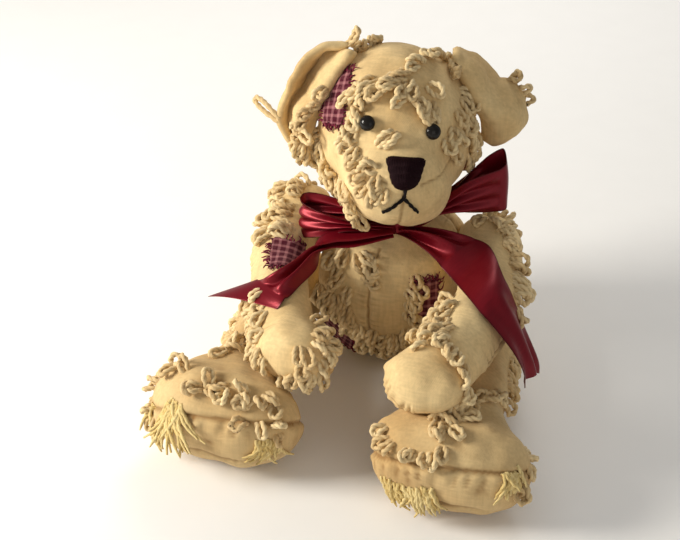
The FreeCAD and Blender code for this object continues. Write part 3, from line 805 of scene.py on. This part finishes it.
def sew_sole(leg, centre):
    """Pulls the foot in along the seam round its sole, and gathers the sole's cloth below it."""
    out = (leg.points - centre) @ SOLE_WAY - SOLE_INSET
    foot = leg.points[:, 1] < centre[1] + 26
    near = np.exp(-(out / 1.1) ** 2) * foot
    run = (leg.points - centre) @ vec(1, -0.6, 0)
    pleats = np.sin(2 * math.pi * run / PLEAT_PITCH + np.sin(run * 0.31))
    below = np.where(out > 0, np.exp(-(out / 6.0) ** 2), np.exp(-(out / 2.0) ** 2) * 0.4) * (1 - near) * foot
    leg.lift(0.45 * pleats * below + 0.9 * below - 1.0 * near)
    # the tone rises along the sole's seam, a little over the whole leg, and more on the foot towards its toes
    leg.tone += 0.5 * np.exp(-(out / 0.8) ** 2) * foot + LEG_DARKENING + FOOT_DARKENING * np.clip(-leg.points[:, 1] / 15 - 4, 0, 1)


def split_sole(made, name, centre):
    """Cuts the sole off a finished leg along its seam, as a piece of its own."""
    sole = made.copy()
    sole.data = made.data.copy()
    sole.name = name
    bpy.context.scene.collection.objects.link(sole)
    place = Vector((centre + SOLE_WAY * SOLE_INSET) * MM)
    for piece, inner in ((made, False), (sole, True)):
        bm = bmesh.new()
        bm.from_mesh(piece.data)
        bmesh.ops.bisect_plane(bm, geom=bm.verts[:] + bm.edges[:] + bm.faces[:], plane_co=place,
                               plane_no=Vector(SOLE_WAY), clear_inner=inner, clear_outer=not inner)
        bm.to_mesh(piece.data)
        bm.free()
    return sole


for side, word, station in ((-1, "right", LEG_RIGHT[-1]), (1, "left", LEG_LEFT[-1])):
    leg = LEGS[side]
    middle = vec(*station[:3])
    leg.crease([(side * 42 - 6, -62, 30), (side * 42, -60, 33), (side * 42 + 6, -62, 30)], 1.2, 2.5)
    sew_sole(leg, middle)
    rim = [middle + vec(-24, -13, -10), middle + vec(-8, -19, -8), middle + vec(10, -19, -7), middle + vec(24, -12, -8)]
    leg.crease(rim, 0.9, 1.2)
    made = leg.build("leg_%s_shell" % word, "leg_%s_stuffing" % word, fill=0.8)
    sole = split_sole(made, "sole_%s_fabric" % word, middle)
    sole["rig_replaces"] = []
    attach(sole, leg.body)
    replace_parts(sole, "leg_%s_sole" % word)


# ---------------------------------------------------------------- ears

def pad(name, sheet_points, thick, material, side, tone=None):
    """A thin stuffed flap: a grid of points given thickness on both sides, rounded off at its edges."""
    rows, columns = sheet_points.shape[:2]
    down = np.gradient(sheet_points, axis=0)
    across = np.gradient(sheet_points, axis=1)
    facing = unit(np.cross(across, down)) * side
    r = np.minimum(np.arange(rows), np.arange(rows)[::-1]) / 3.0
    c = np.minimum(np.arange(columns), np.arange(columns)[::-1]) / 3.0
    edge = np.clip(np.minimum(r[:, None], c[None]), 0, 1)
    half = thick / 2 * np.sqrt(1 - (1 - edge) ** 2 * 0.96)
    front = (sheet_points + facing * half[..., None]).reshape(-1, 3)
    back = (sheet_points - facing * half[..., None]).reshape(-1, 3)
    faces = grid_faces(rows, columns, False)
    count = rows * columns
    index = np.arange(count).reshape(rows, columns)
    rim = np.concatenate([index[0, :], index[1:, -1], index[-1, :-1][::-1], index[1:-1, 0][::-1]])
    turned = np.roll(rim, -1)
    walls = np.stack([rim, turned, turned + count, rim + count], -1)
    faces = np.concatenate([faces, faces[:, ::-1] + count, walls[:, ::-1]])[:, ::side]
    tones = np.zeros(2 * count) if tone is None else np.tile(tone.ravel(), 2)
    return mesh_object(name, np.vstack([front, back]), faces, material, tones)


EAR_ROWS = 56
EAR_COLUMNS = 36


def ear(side, word, guides, hollow):
    """A folded ear flap through four guide lines that run from the crown to the cheek.

    The lines are the outer edge, the middle of the flap, its front roll and the edge sewn to the skull."""
    lines = np.array([curve_through(line, EAR_ROWS) for line in guides])
    grid = np.array([curve_through(lines[:, row], EAR_COLUMNS) for row in range(EAR_ROWS)])
    grid = NECK[0] + grid @ HEAD_TURN.T
    flat = grid.reshape(-1, 3)
    swell = (0.5 * ripple(flat, 14, 40 + side) + 0.25 * ripple(flat, 6, 44 + side)).reshape(EAR_ROWS, EAR_COLUMNS)
    facing = unit(np.cross(np.gradient(grid, axis=1), np.gradient(grid, axis=0)))
    grid = grid + facing * swell[..., None]
    q = np.linspace(0, 1, EAR_ROWS)[:, None]
    p = np.linspace(0, 1, EAR_COLUMNS)[None]
    stain = hollow * np.exp(-((q - 0.3) / 0.18) ** 2) * np.exp(-((p - 0.2) / 0.22) ** 2)
    made = pad("ear_%s_fabric" % word, grid, 3.6, FABRIC, side, stain)
    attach(made, "head")
    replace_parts(made, "ear_%s" % word)
    return made


EARS = {-1: ear(-1, "right", [
    [(-23, -4, 62.5), (-33, -4, 62.5), (-40.5, -4, 57), (-44, -4, 48), (-47.5, -4, 37.5), (-48.5, -4, 28),
     (-42, -4, 20), (-34, -4, 17)],
    [(-23.5, 0, 60.5), (-31, 3, 57), (-36, 4, 50), (-39.5, 4, 42.5), (-43.5, 2, 35), (-43.5, 1, 27),
     (-39, -1, 21), (-33, -3, 17.5)],
    [(-22, -7, 62), (-26.5, -8, 56), (-30.5, -9, 49), (-34, -9, 42), (-38.5, -9, 35), (-39, -8, 27),
     (-36.5, -7, 20.5), (-32.5, -5, 17.5)],
    [(-20, -4, 60), (-24, -5, 53), (-27.5, -5, 46), (-31, -5, 39), (-34, -5, 31), (-34, -5, 25),
     (-33, -5, 21), (-31, -4, 18)],
], 0.75), 1: ear(1, "left", [
    [(18, 2, 61), (26, 2, 61), (32.5, 2, 55.5), (37, 1, 51.5), (41.5, 0, 51.5), (46.5, -2, 47), (49, -4, 40),
     (46.5, -5, 33), (39, -4, 27)],
    [(17, -4, 62), (24, -7, 59), (30, -8, 53), (35, -9, 48), (39, -10, 46.5), (42.5, -11, 43),
     (44.5, -11, 38), (43, -10, 32), (38, -7, 27.5)],
    [(17, -7, 61), (22.5, -10, 55), (27, -12, 49), (31, -13, 45), (34.5, -13, 42), (37.5, -13, 39),
     (39.5, -12, 35), (39.5, -11, 31), (36, -8, 27)],
    [(16, -5, 60), (20, -6, 55), (24.5, -6, 48), (27.5, -6, 43), (29.5, -6, 39), (31, -6, 36), (32, -6, 33),
     (32.5, -5, 30), (33, -4, 27)],
], 0.1)}


# ---------------------------------------------------------------- nose and mouth

def stitched(name, node, paths, radius, material):
    """Floss laid in long stitches over the muzzle."""
    paths = np.array(paths)
    planes = np.broadcast_to(HEAD_TURN @ vec(0, -1, 0.2), paths.shape).copy()
    made = tubes(name, paths, planes, radius, material, "head", CHANCE.uniform(0, 1, len(paths)))
    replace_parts(made, node)
    return made


def on_muzzle(x, z, height):
    """A point that far outside the muzzle, at a place across and up its front."""
    base = on_head(x, -70, z)
    place, normal, _, _ = HEAD.tree.ray_cast(Vector(base), Vector(HEAD_TURN @ vec(0, 1, 0)))
    return np.array(place) + np.array(normal) * height


NOSE_MIDDLE = (-1.2, 27.8)
NOSE_TOP = 7.2
NOSE_BOTTOM = 4.9
NOSE_HALF_TALL = 5.0
NOSE_STITCHES = 25


def nose():
    """Satin stitches from the top edge to the bottom, over a padding that swells in the middle."""
    paths = []
    for share in np.linspace(-1, 1, NOSE_STITCHES):
        corner = 0.9 * abs(share) ** 6
        low = NOSE_HALF_TALL - 2.2 * abs(share) ** 3
        path = []
        for t in np.linspace(0, 1, 22):
            x = NOSE_MIDDLE[0] + share * (NOSE_TOP + (NOSE_BOTTOM - NOSE_TOP) * t)
            z = NOSE_MIDDLE[1] + NOSE_HALF_TALL - corner - t * (NOSE_HALF_TALL + low - corner)
            swell = (1 - abs(share) ** 4) ** 0.5 * math.sin(math.pi * t) ** 0.5
            ridge = 0.35 * math.exp(-(share / 0.25) ** 2) - 0.25 * math.exp(-((t - 0.5) / 0.2) ** 2)
            path.append(on_muzzle(x, z, 0.1 + (2.0 + ridge) * swell))
        paths.append(path)
    return stitched("nose_stitches", "nose", paths, 0.44, FLOSS)


def mouth():
    """One thread down from the nose, and two that part from its end."""
    x, z = NOSE_MIDDLE
    fork = (x, z - NOSE_HALF_TALL - 3.6)
    runs = [((x, z - NOSE_HALF_TALL + 1), fork), (fork, (x - 7.0, fork[1] - 7.0)), (fork, (x + 6.2, fork[1] - 6.6))]
    paths = []
    for (x0, z0), (x1, z1) in runs:
        line = [on_muzzle(x0 + (x1 - x0) * t, z0 + (z1 - z0) * t, 0.35 + 0.25 * math.sin(math.pi * t))
                for t in np.linspace(0, 1, 16)]
        paths.append(line)
    return stitched("mouth_stitches", "mouth", paths, 0.62, BLACK)


nose()
mouth()


# ---------------------------------------------------------------- gingham patches

patch("head_gingham", HEAD, (-22, -7, 119), vec(0, 17, 15), (13, 21), "head_patch", 1)
patch("arm_gingham", ARMS[-1], (-33, -34, 60), vec(0.2, -1, 0), (15, 15), "arm_right_patch", 2)
patch("side_gingham", TORSO, (21, -19, 38), vec(0, 0, 1), (10, 20), "torso_patch_side", 3)
patch("belly_gingham", TORSO, (-17, -21, 14), vec(0.4, 0, 1), (15, 15), "torso_patch_belly", 4)


# ---------------------------------------------------------------- ribbon

RIBBON_HALF = 10.0
NOTCH = 8.0
KNOT = NECK[0] + KNOT_TURN @ vec(0, -26.5, -2.2)


def between(edge_a, edge_b, rows, columns=25, waves=2.0, bow=0.0, cut=None):
    """Points of a ribbon between its two edges. Where the edges come together it is gathered into folds.

    A cut says how much shorter than its edges the ribbon's end is, at each place across it."""
    a, b = curve_through(edge_a, 240), curve_through(edge_b, 240)
    length = np.linalg.norm(np.diff((a + b) / 2, axis=0), axis=1).sum()
    v = np.linspace(-1, 1, columns)
    short = np.zeros(columns) if cut is None else cut(v)
    place = np.linspace(0, 1, rows)[:, None] * (1 - short / length)[None] * 239
    low = np.minimum(place.astype(int), 238)
    part = (place - low)[..., None]

    def at(values):
        return values[low] * (1 - part) + values[low + 1] * part

    side = (b - a) / 2
    spread = np.linalg.norm(side, axis=1)
    share = np.clip(spread / RIBBON_HALF, 0.12, 1)
    run = unit(np.gradient((a + b) / 2, axis=0))
    up = unit(np.cross(run, side))
    steps = np.linspace(0, length, 240)
    fold = spread / (2 * waves) * np.sqrt(1 / share ** 2 - 1)
    rise = at(fold[:, None])[..., 0] * np.cos(math.pi * waves * v)[None] + bow * (1 - v ** 2)[None]
    rise += 0.5 * np.sin(at(steps[:, None])[..., 0] / 7 + 2.2 * v[None]) * at(share[:, None])[..., 0]
    points = at(a) + at(side) * (v[None, :, None] + 1) + at(up) * rise[..., None]
    along = np.vstack([np.zeros(columns), np.cumsum(np.linalg.norm(np.diff(points, axis=0), axis=2), 0)])
    flat = np.stack([np.broadcast_to(v * RIBBON_HALF, along.shape), along], -1)
    return points, flat, float(along[-1].mean())


def satin_piece(name, body, node, points, flat, ride=True):
    """One piece of the ribbon, as a sheet with a thickness and a woven edge on each side."""
    rows, columns = points.shape[:2]
    hem = np.clip((np.abs(flat[..., 0]) - (RIBBON_HALF - 0.9)) * 2, 0, 1)
    made = mesh_object(name, points.reshape(-1, 3), grid_faces(rows, columns, False), SATIN, hem.ravel(),
                       flat=flat.reshape(-1, 2))
    thick = made.modifiers.new("thickness", "SOLIDIFY")
    thick.thickness = 0.3 * MM
    thick.offset = 0
    smooth = made.modifiers.new("smooth", "SUBSURF")
    smooth.levels = 1
    smooth.render_levels = 1
    if ride:
        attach(made, body)
    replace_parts(made, node)
    return made


BAND_RADIUS = 19.6
BAND_FRONT = 6.4


def band():
    """The ribbon round the neck, gathered into a narrow band that is widest in the crease at the back."""
    around = np.linspace(-math.pi, math.pi, 161)
    v = np.linspace(-1, 1, 41)
    waves = 3.0
    front = np.exp(-(around / 0.75) ** 2)[:, None]
    shift = 0.5 * np.sin(3 * around)[:, None] + 0.4 * np.sin(7 * around + 1)[:, None]
    radius = BAND_RADIUS + BAND_FRONT * front + 1.25 * np.sin(math.pi * waves * v[None] + shift * 2)
    height = 0.4 - 2.2 * front + (4.4 - 1.8 * front) * v[None] + 0.3 * shift
    ring = np.stack([radius * np.sin(around)[:, None], -radius * np.cos(around)[:, None], height], -1)
    points = NECK[0] + ring @ KNOT_TURN.T
    flat = np.stack([np.broadcast_to(v[None] * RIBBON_HALF, radius.shape),
                     np.broadcast_to((around * BAND_RADIUS)[:, None], radius.shape)], -1)
    return satin_piece("band_ribbon", "torso", "ribbon_band", points, flat)


def knot():
    """The ribbon's crossing turn, pulled tight into a pillow with folds down it."""
    ways, faces = ball_mesh(22)
    angle = np.arctan2(ways[:, 0], -ways[:, 1])
    folds = 1 + 0.07 * np.sin(9 * angle + 2 * ways[:, 2]) * (1 - ways[:, 2] ** 2)
    waist = 1 - 0.14 * np.exp(-(ways[:, 2] / 0.35) ** 2)
    local = ways * vec(5.6, 3.6, 3.8) * (folds * waist)[:, None]
    flat = np.stack([local[:, 0] * 2, local[:, 2] * 2], -1)
    made = mesh_object("knot_ribbon", KNOT + local @ KNOT_TURN.T, faces, SATIN, np.zeros(len(ways)), flat=flat)
    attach(made, "torso")
    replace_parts(made, "ribbon_knot")


def bow_loop(word, lower, upper):
    """A loop of the bow: out from the knot, round a soft fold and back, between its lower and upper edges."""
    points, flat, length = between(lower, upper, 110, waves=3.0)
    made = satin_piece("loop_%s_ribbon" % word, "torso", "ribbon_loop_" + word, points, flat)
    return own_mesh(made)


def notch(v):
    """A swallowtail cut: the middle of the end is shorter than its corners."""
    return NOTCH * (1 - np.abs(v))


def bow_tail(word, side, inner, outer, cut=None):
    points, flat, length = between(inner, outer, 90, bow=side * 2.2, cut=cut)
    made = satin_piece("tail_%s_ribbon" % word, "torso", "ribbon_tail_" + word, points, flat,
                       ride=False)
    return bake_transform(made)


band()
knot()
bow_loop("right",
         [(6.5, -17.5, 69.2), (-10, -24.5, 71.5), (-20, -23.5, 66), (-30.5, -20, 60.2), (-32.5, -17.5, 60.5),
          (-30.5, -15.5, 61.5), (-20, -17, 67), (-10, -18, 72), (4, -17, 69)],
         [(6.5, -17.5, 73.5), (-10, -24, 76), (-20, -23.5, 77), (-30.5, -20.5, 77.6), (-32.5, -17.4, 78.2),
          (-30, -15, 78.5), (-20, -15.5, 78), (-10, -17, 76.5), (4, -17, 72.5)])
bow_loop("left",
         [(9.5, -16.5, 69.5), (20, -6, 72.8), (33, 1, 71.5), (44, 5.3, 72.2), (46, 8.5, 72.8),
          (43, 11.5, 73.5), (32, 9, 73.5), (20, 2, 73.5), (10, -15, 70)],
         [(9.5, -16.5, 73.8), (20.5, -7, 78.5), (31.5, -0.5, 87), (41.8, 4.8, 92.2), (43.5, 8, 95),
          (41, 12, 97.5), (32.5, 8, 91), (22, 1, 78.5), (10, -15, 74)])
bow_tail("left", 1,
         [(7.5, -17.5, 69.2), (22, -25.5, 67), (35, -35.5, 64.2), (48.4, -49.7, 64.2), (58.8, -53, 54.8),
          (66.2, -55, 43.5),
          (67.5, -53, 34)],
         [(11, -16.5, 73), (31, -14, 71), (43.3, -13.5, 68.2), (53.4, -30.3, 66), (61.8, -33.8, 51.8),
          (68.8, -38, 38), (70, -38, 30)], cut=notch)
bow_tail("right", -1,
         [(5.5, -18.5, 69), (-8, -26, 65), (-18.2, -30, 64.5), (-19.9, -41.5, 62.3), (-23.2, -52.5, 60),
          (-25.4, -60, 58.5), (-27, -62.8, 56.5)],
         [(5.5, -18.5, 72.5), (-8, -25, 71), (-18.6, -29, 69.5), (-26.4, -37, 62), (-33.5, -46, 61.2),
          (-44, -46.5, 53.2), (-62.9, -48, 42.5)])


# ---------------------------------------------------------------- loops of yarn, and yellow tufts

def fringes():
    head = Fringe(HEAD)
    head.row([(-13, -8, 125.5), (-8, -8, 128), (-2, -9, 128), (3, -3, 130)], 15, lean=(-0.5, -0.6, -0.6))
    head.row([(3, -3, 130), (8, 7, 132), (12, 20, 128), (16, 25, 123)], 11, lean=(-0.5, -0.8, 0))
    head.row([(3, -6, 129), (7, -3, 129), (13, -1, 127)], 5)
    head.row([(7, -11, 125), (11, -7, 125), (16, -5, 122)], 6, length=(9, 13))
    head.row([(14, -9, 122), (18, -6, 120)], 3, length=(6, 8))
    head.row([(-2, -24, 110), (3, -21, 112)], 4, length=(8, 12), lean=(1, 0.4, 0.5))
    head.row([(-12, -19, 112), (-6, -26, 105), (1, -33, 99)], 12, length=(7, 11))
    head.row([(-2, -28, 105), (3, -32, 102), (4, -34, 97)], 7, length=(6, 9))
    head.row([(-27, -5, 90), (-20, -12, 84), (-9, -24, 87)], 18, length=(13, 19), hug=(0.1, 0.5))
    head.row([(-24, -6, 86), (-16, -12, 82), (-8, -25, 84)], 13, length=(11, 16), hug=(0.1, 0.5))
    head.row([(-28, -8, 92), (-22, -16, 89), (-12, -25, 89)], 16, length=(11, 16), lean=(-0.5, -1, -0.8),
             hug=(0.0, 0.3))
    head.row([(-28, -9, 87), (-21, -16, 85), (-12, -24, 86)], 16, length=(11, 16), lean=(-0.5, -1, -0.6),
             hug=(0.0, 0.2))
    head.row([(-31, -5, 104), (-30, -7, 98), (-28, -4, 90)], 9, length=(9, 14), hug=(0.2, 0.7))
    head.row([(24, 12, 120), (26, 5, 113), (26, -4, 104)], 6, length=(7, 12))
    head.row([(23, -7, 110), (25, -3, 112), (26, 1, 115)], 4, length=(6, 9))
    head.row([(30, 8, 112), (31, 8, 104), (30, 6, 96)], 10, length=(10, 14), hug=(0.3, 0.7))
    head.row([(-19, 14, 129), (-16, 17, 131), (-11, 16, 133)], 7, length=(5, 9), lean=(0, -0.3, 1), hug=(0.1, 0.4))
    head.row([(-15, -10, 124), (-12, -14, 118), (-15, -18, 112)], 8, length=(6, 9), lean=(1, -0.2, -0.4))
    for line in ([(-24, 22, 119), (-14, 30, 122), (-6, 32, 117)], [(-2, 34, 110), (8, 34, 116), (18, 27, 121)],
                 [(-29, 16, 106), (-24, 26, 99), (-16, 31, 97)], [(-8, 34, 100), (4, 36, 94), (14, 33, 99)],
                 [(20, 26, 106), (28, 18, 98), (29, 14, 92)], [(-20, 22, 86), (-8, 29, 84), (2, 30, 88)]):
        head.row(line, 9, length=(8, 14), wild=0.9)
    head.build("head_loops", "head_yarn")

    rim = Fringe(Surface(EARS[-1], "head"))
    rim.loop(on_head(-50, -6, 30), HEAD_TURN @ vec(-1, -0.5, 0.1), 16, 2.4, 1, 0.3, 0.0)
    rim.loop(on_head(-44, -12, 29), HEAD_TURN @ vec(1, -0.4, 0), 10, 3.2, 3, 0.2, 0.1)
    rim.loop(on_head(-24, -2, 62), HEAD_TURN @ vec(0.2, -0.2, 1), 9, 2.0, 2, 0.5, 0.0)
    rim.row([on_head(-40, -12, 24), on_head(-37, -9, 20), on_head(-33, -6, 17)], 9, length=(8, 12), hug=(0.1, 0.4))
    rim.row([on_head(-31, -12, 47), on_head(-38, -13, 36), on_head(-40, -12, 26)], 9, length=(6, 10),
            lean=(-0.8, -0.8, -0.4))
    rim.build("ear_right_loops")
    rim = Fringe(Surface(EARS[1], "head"))
    rim.row([on_head(37, -1, 51), on_head(43, -2, 49), on_head(48, -4, 42)], 8, length=(4, 6), lean=(0.6, 0, 1),
            hug=(0.1, 0.5))
    rim.row([on_head(18, -8, 58), on_head(24, -9, 50), on_head(28, -10, 44)], 8, length=(7, 10), hug=(0.3, 0.8))
    rim.build("ear_left_loops")

    torso = Fringe(TORSO)
    torso.row([(-15, -15, 58), (-17, -18, 50), (-12, -22, 43)], 9)
    torso.row([(-9, -18, 56), (-4, -21, 52), (-6, -23, 46)], 7, lean=(1, 0, -0.5))
    torso.row([(-24, -18, 36), (-14, -23, 33), (-7, -25, 27)], 13)
    torso.row([(-20, -20, 32), (-11, -24, 28), (-5, -24, 22)], 10)
    torso.row([(-8, -24, 22), (5, -25, 21), (16, -22, 24), (26, -16, 28)], 20, length=(7, 11))
    torso.row([(-6, -23, 17), (6, -24, 16), (18, -20, 18)], 12, length=(7, 10))
    torso.row([(15, -22, 50), (15, -23, 40), (16, -22, 28)], 12, length=(6, 9), lean=(0.5, 0, -0.6))
    for line in ([(-26, 18, 54), (-14, 25, 59), (-4, 27, 54)], [(4, 27, 60), (14, 25, 52), (24, 18, 50)],
                 [(-33, 12, 40), (-22, 25, 33), (-10, 30, 38)], [(-4, 30, 30), (8, 31, 36), (18, 27, 30)],
                 [(24, 22, 36), (33, 12, 28), (34, 8, 20)], [(-26, 20, 20), (-12, 28, 14), (0, 29, 19)],
                 [(8, 28, 12), (18, 25, 18), (26, 19, 12)]):
        torso.row(line, 9, length=(8, 14), wild=0.9)
    torso.build("torso_loops", "torso_yarn")

    arm = Fringe(ARMS[-1])
    arm.row([(-46, 6, 66), (-46, -12, 64), (-44, -26, 60)], 13)
    arm.row([(-39, 6, 68), (-38, -14, 66), (-36, -24, 63)], 12, lean=(-1, 0, -0.2))
    arm.row([(-41, -50, 52), (-38, -60, 48), (-32, -72, 44)], 15, length=(9, 14), hug=(0.2, 0.7))
    arm.row([(-36, -54, 56), (-32, -66, 51), (-27, -78, 44)], 10)
    arm.row([(-12, -62, 52), (-6, -73, 48), (-9, -81, 40)], 12)
    arm.row([(-12, -72, 54), (-13, -80, 47), (-17, -82, 38)], 12, length=(7, 11))
    arm.row([(-42, 14, 62), (-46, 16, 54), (-42, 16, 46)], 10)
    arm.build("arm_right_loops", "arm_right_yarn")

    arm = Fringe(ARMS[1])
    arm.row([(52, -12, 63), (57, -24, 61), (60, -36, 56)], 14, length=(9, 14), hug=(0.2, 0.6), lean=(1, 0, -0.3))
    arm.row([(38, 8, 67), (44, 0, 67), (48, -8, 65)], 8)
    arm.row([(33, -36, 57), (33, -48, 58), (32, -58, 58)], 13, length=(8, 13), lean=(-1, -0.3, -0.3))
    arm.row([(35, -43, 60), (38, -54, 61), (38, -62, 61)], 11, length=(8, 12), lean=(-0.4, -1, -0.3))
    arm.row([(30, -60, 58), (34, -66, 60), (42, -66, 60)], 8, length=(7, 10), lean=(-0.3, -1, -0.5))
    arm.row([(41, -66, 61), (46, -71, 58), (50, -76, 50)], 7, length=(8, 12), lean=(0.3, -1, -0.4))
    arm.row([(50, -72, 46), (48, -79, 43), (43, -84, 40)], 11, length=(9, 13), hug=(0.2, 0.6))
    arm.row([(42, 14, 62), (48, 16, 54), (44, 16, 46)], 10)
    arm.build("arm_left_loops", "arm_left_yarn")

    leg = Fringe(LEGS[-1])
    leg.row([(-60, -82, 35), (-48, -92, 37), (-38, -92, 37), (-30, -91, 36), (-20, -90, 34)], 20, length=(7, 11))
    leg.row([(-47, -66, 35), (-39, -64, 34), (-29, -72, 34)], 10)
    leg.row([(-28, -95, 33), (-23, -97, 28), (-17, -96, 25)], 6, length=(6, 9))
    leg.row([(-69, -84, 27), (-67, -92, 20), (-62, -97, 14)], 8, length=(5, 8))
    leg.row([(-56, -10, 22), (-55, -30, 24), (-54, -48, 24)], 18)
    leg.row([(-50, 12, 28), (-40, 16, 24), (-36, 16, 12)], 10)
    leg.build("leg_right_loops", "leg_right_yarn")

    leg = Fringe(LEGS[1])
    leg.row([(24, -88, 30), (32, -94, 31), (40, -97, 32), (47, -95, 35)], 9, length=(6, 10))
    leg.row([(43, -88, 38), (49, -84, 39), (54, -70, 35), (57, -54, 30)], 14, length=(8, 12))
    leg.row([(58, -12, 22), (60, -30, 22), (60, -46, 22)], 18)
    leg.row([(74, -78, 28), (76, -84, 24), (74, -92, 20)], 6, length=(6, 9))
    leg.row([(50, 12, 28), (42, 16, 24), (36, 16, 12)], 10)
    leg.build("leg_left_loops", "leg_left_yarn")


def tuft(name, skin, line, count, length, lean, radius):
    """A sheaf of thick frayed yellow thread at the end of a sole's seam."""
    roots = curve_through(line, count) + CHANCE.normal(0, 0.9, (count, 3))
    leans = unit(vec(*lean)) + CHANCE.normal(0, 0.2, (count, 3))
    made = threads(name, skin, roots, leans, CHANCE.uniform(*length, count), CHANCE.uniform(0.4, 1.8, count),
                   radius, TUFT, curl=0.34)


fringes()
tuft("tuft_right_toe", LEGS[-1], [(-58, -96, 29), (-52, -98, 30)], 30, (12, 19), (0.1, -0.2, -1), 0.8)
tuft("tuft_right_toe_side", LEGS[-1], [(-67, -90, 22), (-63, -95, 16)], 22, (6, 11), (0.1, -0.3, -1), 0.75)
tuft("tuft_right_heel", LEGS[-1], [(-23, -98, 24), (-17, -95, 21)], 22, (7, 12), (0.0, -0.1, -1), 0.75)
tuft("tuft_left_toe", LEGS[1], [(28, -94, 17), (38, -100, 18), (46, -101, 20)], 40, (8, 13), (0.4, -0.3, -1), 0.75)
tuft("tuft_left_heel", LEGS[1], [(68, -94, 27), (72, -89, 28)], 20, (6, 10), (0.1, -0.2, -1), 0.75)

INNER = {"disc": PLASTIC, "washer": PLASTIC, "washers": PLASTIC, "left": EYE, "right": EYE}
for name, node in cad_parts.items():
    if not node.hide_render:
        node.data.materials.clear()
        node.data.materials.append(INNER[name.split("_")[-1]])
